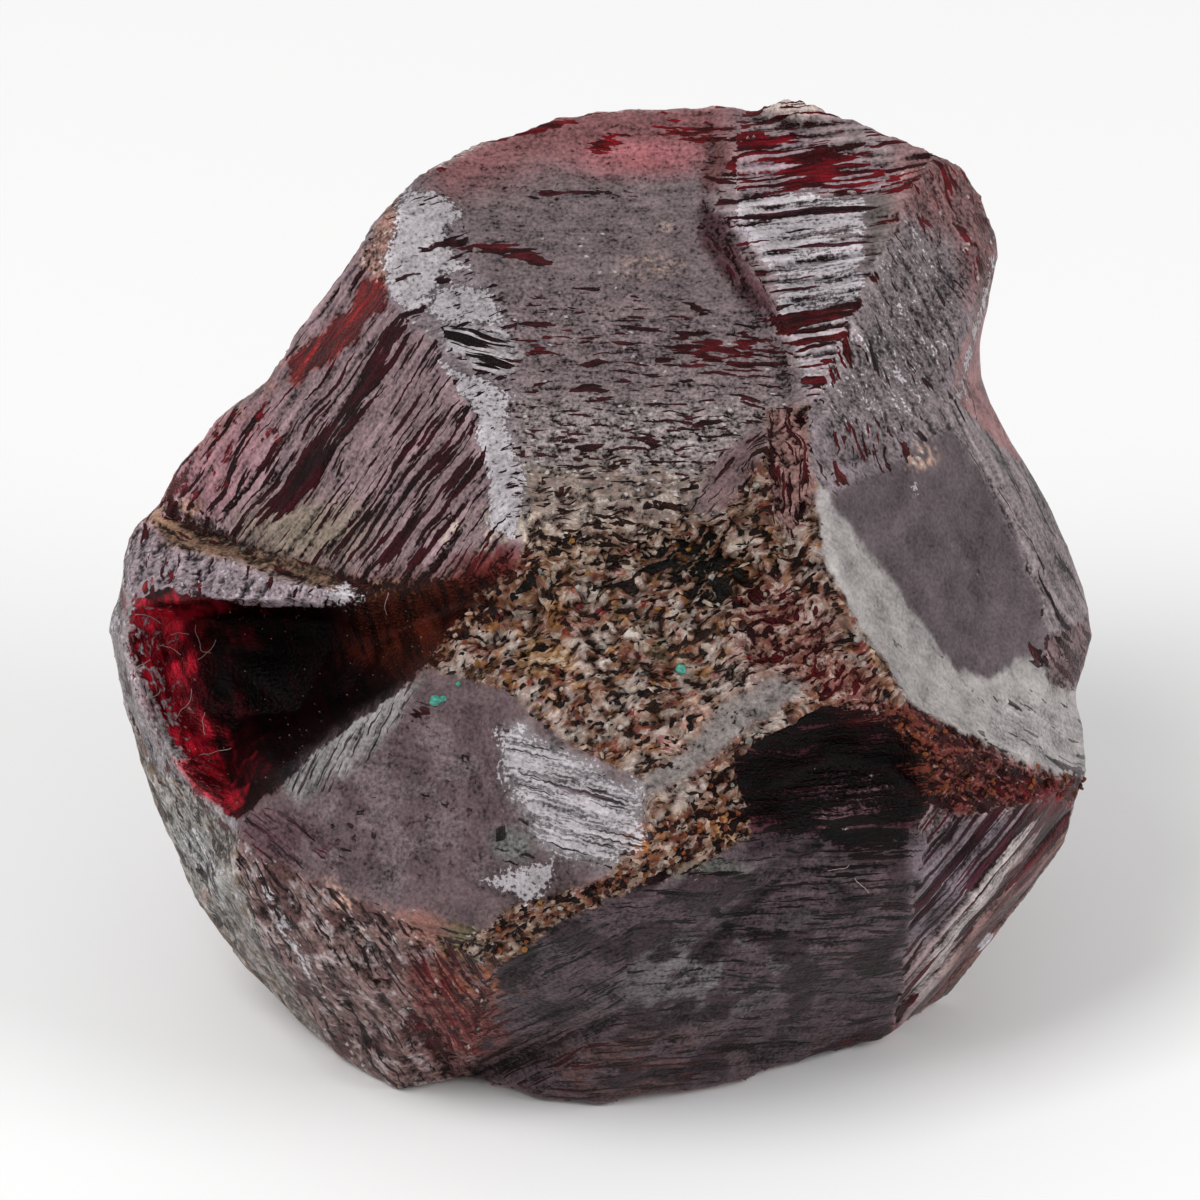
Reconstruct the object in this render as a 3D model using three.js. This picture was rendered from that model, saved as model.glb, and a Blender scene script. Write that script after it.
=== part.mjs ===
// A rough, naturally grown almandine garnet: one solid stone, about 20 mm across.
// Its broad front is a worn, stepped dome of crystal faces round a rough pit, with a deep
// fracture scoop on its left and a smaller one under its lower crest. It rests on one flat
// crystal face. Millimetres, +Z up, origin at the middle of the resting face's level,
// -Y is the front.
import * as THREE from "three";

// Driving dimensions
const SIZE = 1; // scale of the whole stone: 1 is a 20 mm stone
const LEAN = THREE.MathUtils.degToRad(30); // the front leans back this far from upright
const MIDDLE_HEIGHT = 8.75; // height of the middle of the front above the resting face

const sinLean = Math.sin(LEAN);
const cosLean = Math.cos(LEAN);

// A corner as it lies when the stone is looked at square to its front: millimetres to the
// right of, above and nearer than the middle of the front.
function seen([right, up, near]) {
  return new THREE.Vector3(
    right,
    up * sinLean - near * cosLean,
    up * cosLean + near * sinLean + MIDDLE_HEIGHT,
  );
}

// A corner of the front's lower edge, where it touches the ground.
function foot([right, up]) {
  const near = -(MIDDLE_HEIGHT + up * cosLean) / sinLean;
  return seen([right, up, near]).setZ(0);
}

// A corner that the front hides, in the part's own frame.
function behind([x, y, z]) {
  return new THREE.Vector3(x, y, z);
}

// Corners, in named rows. A row's corners are numbered from 1.
const corners = {};
function row(name, place, points) {
  points.forEach((point, i) => {
    corners[name + (i + 1)] = place(point);
  });
}

// Outline of the front, clockwise from the notch at the top.
row("top", seen, [
  [3.1, 9.84, -1.8], [3.8, 10.18, -1.6], [4.9, 9.8, -1.3], [6.1, 9.3, -1.0],
]);
row("right", seen, [
  [7.3, 8.84, -1.7], [7.8, 8.2, -1.9], [8.06, 7.2, -2.2], [7.84, 6.2, -1.8],
  [7.62, 5.1, -1.3], [7.68, 4.3, -1.0], [8.4, 3.0, -0.9], [9.0, 2.0, -0.9],
  [9.44, 1.1, -0.9], [9.8, 0, -1.0], [9.92, -0.7, -1.0], [9.52, -1.94, -0.8],
  [9.72, -2.56, -0.8], [9.78, -3.4, -0.5], [9.6, -4.0, -0.6], [9.36, -4.9, -1.0],
  [8.5, -6.1, -1.7], [7.7, -7.16, -2.4],
]);
row("base", foot, [
  [6.9, -8.16], [5.6, -8.96], [3.8, -9.38], [2.9, -9.74], [1.8, -9.92], [0, -10.14],
  [-1.5, -10.04], [-2.8, -9.66], [-4.1, -9.84], [-5.1, -9.3], [-5.8, -8.76],
]);
row("left", seen, [
  [-7.2, -7.4, -2.1], [-8.2, -6.0, -1.7], [-9.0, -4.0, -1.5], [-9.6, -2.2, -1.4],
  [-9.92, -0.6, -1.4], [-9.68, 0.3, -1.4], [-9.58, 1.2, -1.4], [-9.4, 1.56, -1.5],
  [-8.96, 1.9, -1.6], [-8.64, 2.56, -1.6], [-7.76, 3.6, -1.3], [-7.0, 3.96, -0.8],
  [-6.2, 5.3, -0.7], [-5.1, 6.76, -0.4], [-4.64, 7.56, -0.3],
]);
row("crown", seen, [
  [-3.8, 8.5, -0.8], [-2.5, 9.24, -1.4], [-1.2, 9.66, -1.8], [0.5, 9.96, -2.0],
  [2.3, 10.0, -2.0],
]);

// Worn bevel between the left face and the top face, from the outline to the pit.
row("bevelLeft", seen, [
  [-4.24, 7.74, 0.0], [-4.34, 6.6, 0.5], [-4.0, 5.6, 1.3], [-3.2, 4.9, 2.2],
  [-2.84, 3.96, 3.0], [-2.36, 2.96, 3.8], [-2.0, 1.9, 4.6], [-1.76, 0.9, 5.0],
]);
row("bevelRight", seen, [
  [-3.4, 8.4, -0.5], [-3.0, 7.76, 0.0], [-2.96, 6.64, 0.8], [-2.0, 6.0, 1.45],
  [-1.76, 4.64, 2.55], [-1.72, 3.6, 3.4], [-1.52, 2.56, 4.25], [-1.3, 1.6, 4.95],
]);

// Foot and head of the curved scarp between the top face and the stepped face.
row("scarpFoot", seen, [
  [2.24, 9.0, -1.2], [2.1, 7.7, -0.1], [2.4, 6.76, 0.7], [3.2, 5.64, 1.7],
  [3.7, 4.56, 2.6], [3.04, 3.4, 3.6], [2.3, 2.0, 4.7],
]);
row("scarpHead", seen, [
  [2.66, 9.0, -0.7], [2.72, 7.9, 0.3], [3.3, 6.76, 1.2], [3.6, 5.8, 2.0],
]);
// Ridge between the stepped face and the upper right face.
row("ridge", seen, [
  [6.1, 8.6, -0.4], [5.86, 7.5, 0.5], [5.24, 6.0, 1.9], [4.96, 5.1, 2.6],
  [4.56, 4.0, 3.5], [4.12, 3.2, 4.3],
]);
row("saddle", seen, [[0.4, 2.0, 4.8], [3.92, 3.7, 3.5]]);

// Upper right face and its thin edge.
row("shoulder", seen, [[7.7, 6.84, -1.1], [7.3, 5.3, 0.2], [7.0, 4.1, 1.2]]);
row("seam", seen, [[4.6, 2.5, 4.6], [6.1, 3.04, 2.7]]);
// Outer edge of the smooth right face, round to the pale bevel under it.
row("plate", seen, [
  [7.8, 2.9, 1.0], [8.6, 1.4, 0.65], [9.1, 0, 0.5], [9.16, -0.8, 0.5],
  [8.6, -1.1, 0.95], [8.0, -1.48, 1.5], [7.2, -1.44, 2.3], [6.5, -0.8, 3.0],
  [5.4, 0.8, 3.95],
]);
row("step", seen, [[8.8, -1.66, 0.7]]);
// Inner and lower edge of the pale bevel.
row("band", seen, [
  [4.06, 2.6, 4.8], [4.64, 0.8, 4.95], [5.04, -0.4, 4.95], [5.64, -1.7, 4.8],
  [6.16, -2.4, 4.6], [7.2, -2.94, 3.9], [8.5, -3.36, 2.5], [9.56, -3.66, 0.6],
]);

// The rough pit in the middle.
row("pit", seen, [
  [-0.2, 0.8, 4.7], [1.2, 0.8, 4.1], [2.8, 0.6, 4.1], [3.8, 0.8, 4.6], [3.2, 2.4, 4.4],
  [-1.0, -0.4, 5.0], [0.8, -0.8, 5.3], [2.6, -0.8, 5.2], [4.0, -0.8, 4.9],
  [-0.2, -1.8, 5.5], [1.6, -2.2, 5.8], [3.2, -1.8, 5.6], [4.8, -1.2, 5.0],
]);
// Its lower crest, from the middle of the front to the right.
row("crest", seen, [
  [1.0, -4.24, 6.3], [2.0, -3.54, 6.1], [3.2, -2.66, 5.8], [4.0, -2.1, 5.5],
  [4.9, -1.96, 5.2],
]);
// Its lower left edge, against the lower left face.
row("brow", seen, [
  [0.8, -3.7, 6.15], [0.56, -3.04, 5.9], [-0.5, -2.5, 5.6], [-1.6, -1.8, 5.3],
  [-2.6, -1.1, 4.9], [-3.2, -0.8, 4.6],
]);

// Lower left face: its lower edge, then its edge over the scoop.
row("nose", seen, [
  [0.64, -5.0, 6.4], [-0.8, -5.96, 6.0], [-2.3, -6.64, 5.4], [-4.0, -6.16, 4.8],
  [-5.4, -5.64, 4.1], [-6.76, -5.36, 3.2], [-7.26, -4.44, 2.6],
]);
row("cheek", seen, [
  [-6.5, -3.9, 3.1], [-6.3, -3.3, 3.3], [-5.2, -2.6, 3.8], [-4.0, -1.76, 4.3],
]);
row("flat", seen, [[-4.0, -4.0, 4.5], [-1.6, -4.0, 5.6]]);

// The fracture scoop: its left lip, the foot of the ledge over it, its upper wall, its
// floor, and the channel that runs from it to the pit.
row("lip", seen, [
  [-8.0, -3.76, 1.5], [-8.7, -2.94, 1.0], [-9.2, -2.0, 0.6], [-9.48, -1.0, 0.2],
  [-9.44, -0.16, 0.1],
]);
row("ledge", seen, [
  [-8.7, 0, 0.7], [-7.7, 0, 1.3], [-6.6, 0, 1.9], [-5.3, -0.06, 2.6],
  [-4.56, 0.04, 3.1], [-3.6, 0.1, 3.7],
]);
row("wall", seen, [
  [-8.6, -0.36, -0.5], [-7.7, -0.36, -0.6], [-6.6, -0.36, -0.2], [-5.4, -0.4, 0.8],
]);
row("scoop", seen, [
  [-5.4, -1.0, 0.4], [-6.6, -1.0, -0.8], [-7.8, -1.0, -1.0], [-8.7, -1.1, -0.6],
  [-8.4, -2.2, -0.5], [-7.2, -2.3, -0.7], [-6.0, -2.2, 0.4], [-7.5, -3.3, 0.5],
  [-4.9, -1.8, 2.0],
]);
row("channel", seen, [[-2.6, -0.04, 4.0], [-3.4, -0.4, 3.1], [-4.4, -0.8, 1.9]]);
// Valley at the foot of the left face, and the crest of the ledge in front of it.
row("valley", seen, [
  [-8.2, 1.56, -1.0], [-7.2, 1.1, 0.2], [-6.0, 0.64, 1.5], [-5.0, 0.36, 2.6],
  [-4.0, 0.3, 3.5], [-2.9, 0.44, 4.3],
]);
row("coping", seen, [
  [-8.4, 1.3, -0.5], [-7.5, 0.8, 0.8], [-6.2, 0.34, 2.0], [-5.3, 0.2, 2.8],
]);

// Lower left side, below the scoop.
row("flank", seen, [[-7.36, -5.4, 2.4], [-6.9, -6.6, 1.6], [-6.1, -7.8, 0.2]]);
row("scale", seen, [
  [-5.4, -7.2, 2.8], [-4.0, -8.0, 2.7], [-2.44, -7.7, 3.6], [-2.6, -8.8, 1.6],
]);

// Lower front face, the worn seam over it, and the dark hollow under the crest.
row("under", seen, [
  [-2.0, -7.3, 4.6], [-0.6, -6.6, 5.4], [0.8, -5.96, 5.9], [2.0, -5.64, 5.8],
  [2.9, -5.36, 5.6], [3.8, -4.56, 5.1], [4.9, -4.24, 4.6], [6.1, -4.64, 4.0],
]);
row("keel", seen, [[6.24, -5.4, 3.6], [6.1, -6.6, 2.2], [5.86, -7.7, 0.2]]);
row("belly", seen, [[1.0, -8.0, 3.2]]);
row("hollow", seen, [
  [2.4, -4.3, 5.9], [3.4, -3.7, 4.7], [4.6, -3.1, 4.1], [5.7, -3.3, 3.7],
]);
// Stained shelf, and the ribbed lower right face below it.
row("shelf", seen, [[6.5, -4.0, 3.7], [7.7, -4.06, 2.8], [8.7, -4.04, 1.9]]);
row("rib", seen, [[7.7, -6.0, 1.5], [7.0, -7.2, -0.2]]);

// Hidden side: the rest of the resting face, then the back.
row("heel", behind, [
  [7.0, 1.0, 0], [5.8, 3.6, 0], [3.0, 5.4, 0], [-1.0, 5.8, 0], [-4.2, 4.6, 0],
  [-6.2, 2.0, 0], [-6.6, -0.6, 0],
]);
row("back", behind, [
  [8.4, 2.4, 3.2], [9.1, 3.4, 7.4], [7.5, 6.0, 11.2], [4.9, 7.8, 13.8],
  [0.4, 8.7, 13.4], [-2.9, 7.3, 13.2], [-6.2, 5.5, 10.2], [-8.5, 3.6, 7.0],
  [-7.8, 2.2, 3.2], [-4.6, 6.7, 4.6], [-0.3, 8.8, 7.4], [4.7, 7.4, 5.2],
]);

// The names of a row's corners from one number to another, up or down.
function run(name, from, to = from) {
  const step = Math.sign(to - from) || 1;
  const names = [];
  for (let i = from; i !== to + step; i += step) names.push(name + i);
  return names;
}

// Triangles from one corner to each edge of a chain of corners.
function fan(tip, names) {
  return names.slice(1).map((name, i) => [tip, names[i], name]);
}

// Faces of the front. Each is a loop of corners, in either direction.
const frontFaces = [
  // top face, left face and the bevel between them
  [...run("crown", 1, 5), ...run("scarpFoot", 1, 7), "saddle1", ...run("bevelRight", 8, 1)],
  [
    ...run("left", 9, 15), ...run("bevelLeft", 1, 8), ...run("valley", 6, 1),
  ],
  ["left15", "crown1", "bevelRight1", "bevelLeft1"],
  ["bevelLeft1", "bevelRight1", "bevelRight2"],
  ["bevelLeft1", "bevelRight2", "bevelRight3", "bevelLeft2"],
  ["bevelLeft2", "bevelRight3", "bevelLeft3"],
  ["bevelLeft3", "bevelRight3", "bevelRight4", "bevelLeft4"],
  ["bevelLeft4", "bevelRight4", "bevelRight5"],
  ["bevelLeft4", "bevelRight5", "bevelLeft5"],
  ["bevelLeft5", "bevelRight5", "bevelRight6", "bevelLeft6"],
  ["bevelLeft6", "bevelRight6", "bevelRight7", "bevelLeft7"],
  ["bevelLeft7", "bevelRight7", "bevelRight8", "bevelLeft8"],
  // stepped face and its scarp
  ["crown5", "top1", "scarpHead1", "scarpFoot1"],
  ["scarpFoot1", "scarpHead1", "scarpHead2", "scarpFoot2"],
  ["scarpFoot2", "scarpHead2", "scarpHead3", "scarpFoot3"],
  ["scarpFoot3", "scarpHead3", "scarpHead4", "scarpFoot4"],
  ["scarpFoot4", "scarpHead4", "scarpFoot5"],
  [
    ...run("top", 1, 4), ...run("ridge", 1, 6), "saddle2", "scarpFoot5",
    ...run("scarpHead", 4, 1),
  ],
  // upper right face and its thin edge
  [
    "top4", ...run("right", 1, 3), ...run("shoulder", 1, 3), "seam2", "seam1", "band1",
    ...run("ridge", 6, 1),
  ],
  ["right3", "right4", "shoulder1"],
  ["shoulder1", "right4", "right5", "shoulder2"],
  ["shoulder2", "right5", "right6", "shoulder3"],
  // smooth right face, its curved flank and its end
  ["seam1", "seam2", "shoulder3", ...run("plate", 1, 9)],
  ["shoulder3", "right6", "right7", "plate1"],
  ["plate1", "right7", "right8", "plate2"],
  ["plate2", "right8", "right9", "right10", "plate3"],
  ["plate3", "right10", "right11", "plate4"],
  ["plate4", "right11", "right12", "step1", "plate5"],
  ["plate5", "step1", "plate6"],
  // pale bevel
  ["seam1", "plate9", "band2", "band1"],
  ["plate9", "plate8", "band3", "band2"],
  ["plate8", "plate7", "band4", "band3"],
  ["plate7", "band5", "band4"],
  ["plate7", "plate6", "band6", "band5"],
  ["plate6", "step1", "band7", "band6"],
  ["step1", "right12", "right13", "band7"],
  ["right13", "right14", "band8", "band7"],
  // pit
  ["bevelRight8", "saddle1", "pit1"],
  ["saddle1", "pit2", "pit1"],
  ["saddle1", "scarpFoot7", "pit2"],
  ["scarpFoot7", "pit3", "pit2"],
  ["scarpFoot7", "pit5", "pit3"],
  ["scarpFoot7", "scarpFoot6", "pit5"],
  ["scarpFoot6", "scarpFoot5", "saddle2", "pit5"],
  ["pit5", "saddle2", "ridge6", "band1"],
  ["pit5", "band1", "pit4"],
  ["pit5", "pit4", "pit3"],
  ["band1", "band2", "pit4"],
  ["pit4", "band2", "pit9"],
  ["band2", "band3", "pit9"],
  ["band3", "pit13", "pit9"],
  ["band3", "band4", "pit13"],
  ["band4", "crest5", "pit13"],
  ["band4", "band5", "crest5"],
  ["pit13", "crest5", "crest4"],
  ["pit13", "crest4", "pit12"],
  ["pit9", "pit13", "pit12"],
  ["pit9", "pit12", "pit8"],
  ["pit4", "pit9", "pit8", "pit3"],
  ["pit3", "pit8", "pit7", "pit2"],
  ["pit2", "pit7", "pit6", "pit1"],
  ["bevelRight8", "pit1", "pit6", "bevelLeft8"],
  ["pit8", "pit12", "pit11", "pit7"],
  ["pit12", "crest4", "crest3"],
  ["pit12", "crest3", "pit11"],
  ["pit11", "crest3", "crest2"],
  ["pit11", "crest2", "crest1", "brow1"],
  ["pit11", "brow1", "brow2"],
  ["pit11", "brow2", "pit10", "pit7"],
  ["brow2", "brow3", "pit10"],
  ["brow3", "brow4", "pit10"],
  ["pit10", "brow4", "pit6", "pit7"],
  ["brow4", "brow5", "pit6"],
  ["brow5", "brow6", "channel1", "pit6"],
  ["pit6", "channel1", "bevelLeft8"],
  // lower left face, in three parts that meet at its two middle corners
  ["brow1", "crest1", "nose1", "nose2", "nose3", "flat2"],
  ["brow1", "flat2", "brow4", "brow3", "brow2"],
  ["flat2", "nose3", "nose4", "flat1"],
  ["brow4", "flat2", "flat1", "cheek4", "brow6", "brow5"],
  ["flat1", "nose4", "nose5", "nose6", "nose7", "cheek1", "cheek2", "cheek3", "cheek4"],
  // ledge
  ["left9", "valley1", "coping1", "left8"],
  ["valley1", "valley2", "coping2", "coping1"],
  ["valley2", "valley3", "coping3", "coping2"],
  ["valley3", "valley4", "coping4", "coping3"],
  ["valley4", "valley5", "ledge5", "coping4"],
  ["valley5", "valley6", "ledge6", "ledge5"],
  ["coping1", "coping2", "ledge2", "ledge1"],
  ["coping2", "coping3", "ledge3", "ledge2"],
  ["coping3", "coping4", "ledge4", "ledge3"],
  ["coping4", "ledge5", "ledge4"],
  ["left7", "left8", "coping1", "ledge1", "lip5"],
  ["left6", "left7", "lip5"],
  ["left5", "left6", "lip5", "lip4"],
  ["left4", "left5", "lip4", "lip3"],
  // scoop and channel
  ["lip5", "ledge1", "wall1"],
  ["ledge1", "ledge2", "wall2", "wall1"],
  ["ledge2", "ledge3", "wall3", "wall2"],
  ["ledge3", "ledge4", "wall4", "wall3"],
  ["ledge4", "ledge5", "channel3", "wall4"],
  ["ledge5", "ledge6", "channel2", "channel3"],
  ["ledge6", "valley6", "channel1", "channel2"],
  ["valley6", "bevelLeft8", "channel1"],
  ["lip5", "wall1", "scoop4", "lip4"],
  ["wall1", "wall2", "scoop3", "scoop4"],
  ["wall2", "wall3", "scoop2", "scoop3"],
  ["wall3", "wall4", "scoop1", "scoop2"],
  ["wall4", "channel3", "scoop1"],
  ["scoop4", "scoop5", "lip3", "lip4"],
  ["scoop4", "scoop3", "scoop6", "scoop5"],
  ["scoop3", "scoop2", "scoop7", "scoop6"],
  ["scoop2", "scoop1", "scoop7"],
  ["scoop1", "channel3", "scoop9", "scoop7"],
  ["channel3", "channel2", "brow6", "cheek4", "scoop9"],
  ["channel2", "channel1", "brow6"],
  ["scoop5", "scoop8", "lip2", "lip3"],
  ["scoop5", "scoop6", "scoop8"],
  ["scoop8", "lip1", "lip2"],
  ["scoop6", "scoop7", "cheek2", "scoop8"],
  ["scoop8", "cheek1", "nose7", "lip1"],
  ["cheek2", "cheek1", "scoop8"],
  ["scoop7", "cheek3", "cheek2"],
  ["scoop7", "scoop9", "cheek3"],
  ["scoop9", "cheek4", "cheek3"],
  // lower left side
  ["left3", "left4", "lip3", "lip2"],
  ["left2", "left3", "lip2", "lip1", "nose7", "flank1"],
  ["left1", "left2", "flank1", "flank2"],
  ["base11", "left1", "flank2", "flank3"],
  ["nose7", "nose6", "flank1"],
  ["flank1", "nose6", "scale1", "flank2"],
  ["nose6", "nose5", "scale1"],
  ["nose5", "nose4", "scale2", "scale1"],
  ["nose4", "nose3", "scale3", "scale2"],
  ["flank2", "scale1", "flank3"],
  ["flank3", "scale1", "scale2", "base9", "base10", "base11"],
  ["scale2", "scale3", "scale4", "base8", "base9"],
  // worn seam, lower front face and hollow
  ["nose3", "nose2", "under2", "under1", "scale3"],
  ["nose2", "nose1", "under3", "under2"],
  ["nose1", "crest1", "crest2", "hollow1", "under5", "under4", "under3"],
  [
    "belly1", "scale4", "scale3", ...run("under", 1, 4),
  ],
  ["belly1", ...run("under", 4, 8), ...run("keel", 1, 3)],
  ...fan("belly1", ["keel3", ...run("base", 2, 8), "scale4"]),
  ["crest2", "crest3", "hollow2", "hollow1"],
  ["crest3", "crest4", "hollow3", "hollow2"],
  ["crest4", "crest5", "hollow3"],
  ["crest5", "band5", "hollow4", "hollow3"],
  ["band5", "band6", "shelf1", "hollow4"],
  ["hollow4", "shelf1", "under8", "under7"],
  ["hollow3", "hollow4", "under7", "under6"],
  ["hollow2", "hollow3", "under6"],
  ["hollow1", "hollow2", "under6", "under5"],
  // stained shelf and ribbed face
  ["band6", "band7", "shelf2", "shelf1"],
  ["band7", "band8", "shelf3", "shelf2"],
  ["band8", "right14", "right15", "shelf3"],
  ["shelf1", "shelf2", "rib1", "keel1", "under8"],
  ["shelf2", "shelf3", "rib1"],
  ["shelf3", "right15", "right16", "rib1"],
  ["right16", "right17", "rib1"],
  ["keel1", "rib1", "rib2", "keel2"],
  ["rib1", "right17", "right18", "rib2"],
  ["keel2", "rib2", "keel3"],
  ["rib2", "right18", "base1", "base2", "keel3"],
];

// Faces that the front hides.
const hiddenFaces = [
  ...fan("heel4", [...run("heel", 3, 1), ...run("base", 1, 11), ...run("heel", 7, 5)]),
  ...fan("heel1", ["base1", ...run("right", 18, 14), "back1"]),
  ...fan("back1", [...run("right", 14, 10), "back2"]),
  ...fan("back2", [...run("right", 10, 6), "back3"]),
  ...fan("back3", [...run("right", 6, 1), ...run("top", 4, 1), "back4"]),
  ...fan("back4", ["top1", ...run("crown", 5, 2), "back5"]),
  ...fan("back5", ["crown2", "crown1", "left15", "left14", "back6"]),
  ...fan("back6", [...run("left", 14, 11), "back7"]),
  ...fan("back7", [...run("left", 11, 7), "back8"]),
  ...fan("back8", [...run("left", 7, 3), "back9"]),
  ...fan("back9", [...run("left", 3, 1), "base11", "heel7", "heel6"]),
  ...fan("back10", ["heel4", "heel5", "heel6", "back9", "back8", "back7", "back6"]),
  ...fan("back11", ["back5", "back6", "back10", "heel4", "heel3"]),
  ...fan("back12", ["heel3", "heel2", "heel1", "back1", "back2", "back3", "back4"]),
  ["back11", "back12", "back4", "back5"],
  ["heel3", "back12", "back11"],
];

// A loop's normal, by Newell's sum, which also suits a loop that isn't quite flat.
function normalOf(points) {
  const sum = new THREE.Vector3();
  points.forEach((point, i) => {
    sum.add(new THREE.Vector3().crossVectors(point, points[(i + 1) % points.length]));
  });
  return sum.normalize();
}

// Triangles of a loop, cut in its own plane, with their normals along facing.
function triangles(names, facing) {
  const points = names.map((name) => corners[name]);
  const normal = normalOf(points);
  const across = new THREE.Vector3().subVectors(points[1], points[0]).cross(normal);
  across.normalize();
  const along = new THREE.Vector3().crossVectors(normal, across);
  const flat = points.map((p) => new THREE.Vector2(p.dot(across), p.dot(along)));
  const turned = normal.dot(facing(points)) < 0;
  return THREE.ShapeUtils.triangulateShape(flat, []).map((triangle) => {
    const [a, b, c] = triangle.map((i) => points[i]);
    const outward = normalOf([a, b, c]).dot(normal) < 0 !== turned;
    return outward ? [c, b, a] : [a, b, c];
  });
}

// The front faces its viewer, and each hidden face points away from the stone's middle.
const towardsViewer = new THREE.Vector3(0, -cosLean, sinLean);
const heart = new THREE.Vector3(0, 0, MIDDLE_HEIGHT);
function awayFromHeart(points) {
  const middle = points.reduce((sum, p) => sum.add(p), new THREE.Vector3());
  return middle.divideScalar(points.length).sub(heart);
}

const surface = [
  ...frontFaces.flatMap((names) => triangles(names, () => towardsViewer)),
  ...hiddenFaces.flatMap((names) => triangles(names, awayFromHeart)),
];
const geometry = new THREE.BufferGeometry().setFromPoints(surface.flat());
geometry.computeBoundingBox();
const { min, max } = geometry.boundingBox;
geometry.translate(-(min.x + max.x) / 2, -(min.y + max.y) / 2, 0);
geometry.scale(SIZE, SIZE, SIZE);
geometry.computeVertexNormals();

const garnet = new THREE.MeshStandardMaterial({
  color: 0x5c3236,
  roughness: 0.4,
  metalness: 0,
});
const crystal = new THREE.Mesh(geometry, garnet);
crystal.name = "garnet_crystal";

const stone = new THREE.Group();
stone.add(crystal);
export default stone;
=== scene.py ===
import math

import bmesh
import bpy
import numpy as np
from mathutils import Matrix, Vector
from mathutils.bvhtree import BVHTree


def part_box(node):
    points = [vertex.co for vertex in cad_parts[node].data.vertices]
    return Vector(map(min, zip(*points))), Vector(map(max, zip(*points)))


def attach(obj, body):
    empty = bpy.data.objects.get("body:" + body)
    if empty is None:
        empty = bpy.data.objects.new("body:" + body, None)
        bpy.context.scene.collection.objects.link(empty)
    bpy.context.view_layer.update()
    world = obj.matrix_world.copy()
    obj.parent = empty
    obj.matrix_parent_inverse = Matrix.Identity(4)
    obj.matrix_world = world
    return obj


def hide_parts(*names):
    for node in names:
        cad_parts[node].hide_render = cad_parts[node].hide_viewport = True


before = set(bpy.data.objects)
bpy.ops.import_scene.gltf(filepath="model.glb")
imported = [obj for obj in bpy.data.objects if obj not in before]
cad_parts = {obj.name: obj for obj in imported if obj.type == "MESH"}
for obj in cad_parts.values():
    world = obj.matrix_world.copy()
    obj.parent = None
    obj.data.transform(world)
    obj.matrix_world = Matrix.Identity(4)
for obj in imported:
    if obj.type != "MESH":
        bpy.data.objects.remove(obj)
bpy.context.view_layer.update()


# ---------------------------------------------------------------------------- the crystal
# One grown almandine garnet: dark red glass under a worn pale satin skin, whose grey is partly a
# painted reflection of the lights, with stepped growth faces, a rough pit in its middle and a
# fracture scoop at its left. The imported solid gives the form, and the finer relief is raised on
# an even, much finer copy of it.

MM = 0.001
LEAN = math.radians(30)  # the front leans back this far from upright
FRONT_DEPTH = 8.176  # the front's middle lies this far behind the foremost corner, in mm
FRONT_HEIGHT = 8.75  # and this far above the resting face
VOXEL = 0.096  # mesh size over the front, in mm
HIDDEN_KEPT = 0.12  # share of the mesh kept where the front hides it
FACING_AWAY = -0.1  # a facet whose facing is less than this is hidden from the front

low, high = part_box("garnet_crystal")
front_middle = Vector((0.0, low.y + FRONT_DEPTH * MM, low.z + FRONT_HEIGHT * MM))
# To millimetres right of, above and nearer than the middle of the front, and back again.
front_turn = Matrix((
    (1, 0, 0),
    (0, math.sin(LEAN), math.cos(LEAN)),
    (0, -math.cos(LEAN), math.sin(LEAN)),
)).to_4x4()
to_front = front_turn @ Matrix.Scale(1 / MM, 4) @ Matrix.Translation(-front_middle)
from_front = to_front.inverted()


def linked(name, mesh):
    """A new object for a mesh, in the scene."""
    thing = bpy.data.objects.new(name, mesh)
    bpy.context.scene.collection.objects.link(thing)
    return thing


def as_plain_mesh(thing):
    """A new mesh of an object with its modifiers applied. The object goes."""
    evaluated = thing.evaluated_get(bpy.context.evaluated_depsgraph_get())
    mesh = bpy.data.meshes.new_from_object(evaluated)
    bpy.data.objects.remove(thing)
    return mesh


def points_of(mesh):
    """Where a mesh's points are, one row for each."""
    flat = np.zeros(len(mesh.vertices) * 3)
    mesh.vertices.foreach_get("co", flat)
    return flat.reshape(-1, 3)


# The solid's own facets, merged, in the front's frame.
facets = bmesh.new()
facets.from_mesh(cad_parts["garnet_crystal"].data)
bmesh.ops.remove_doubles(facets, verts=facets.verts, dist=0.001 * MM)
facets.transform(to_front)
facets.normal_update()
form = BVHTree.FromBMesh(facets)
blank = bpy.data.meshes.new("blank")
facets.to_mesh(blank)
facets.free()

# An even mesh of them, thinned where the front hides it.
even = linked("even", blank)
remesh = even.modifiers.new("even", "REMESH")
remesh.mode = "VOXEL"
remesh.voxel_size = VOXEL
even = linked("even", as_plain_mesh(even))
facing = np.array([form.find_nearest(v.co)[1].z for v in even.data.vertices])
hidden = even.vertex_groups.new(name="hidden")
hidden.add([int(i) for i in np.flatnonzero(facing < FACING_AWAY)], 1.0, "REPLACE")
share_hidden = float((facing < FACING_AWAY).mean())
thin = even.modifiers.new("thin", "DECIMATE")
thin.ratio = 1 - share_hidden * (1 - HIDDEN_KEPT)
thin.vertex_group = "hidden"
thin.use_collapse_triangulate = True
skin_mesh = as_plain_mesh(even)

nearest = [form.find_nearest(v.co) for v in skin_mesh.vertices]
points = np.array([found[0] for found in nearest])
facet_normal = np.array([found[1] for found in nearest])
edges = np.zeros(len(skin_mesh.edges) * 2, int)
skin_mesh.edges.foreach_get("vertices", edges)
edges = edges.reshape(-1, 2)
triangles = np.array([tuple(face.vertices) for face in skin_mesh.polygons])
starts = np.concatenate((edges[:, 0], edges[:, 1]))
ends = np.concatenate((edges[:, 1], edges[:, 0]))
degree = np.bincount(ends, minlength=len(points)).clip(1)


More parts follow.
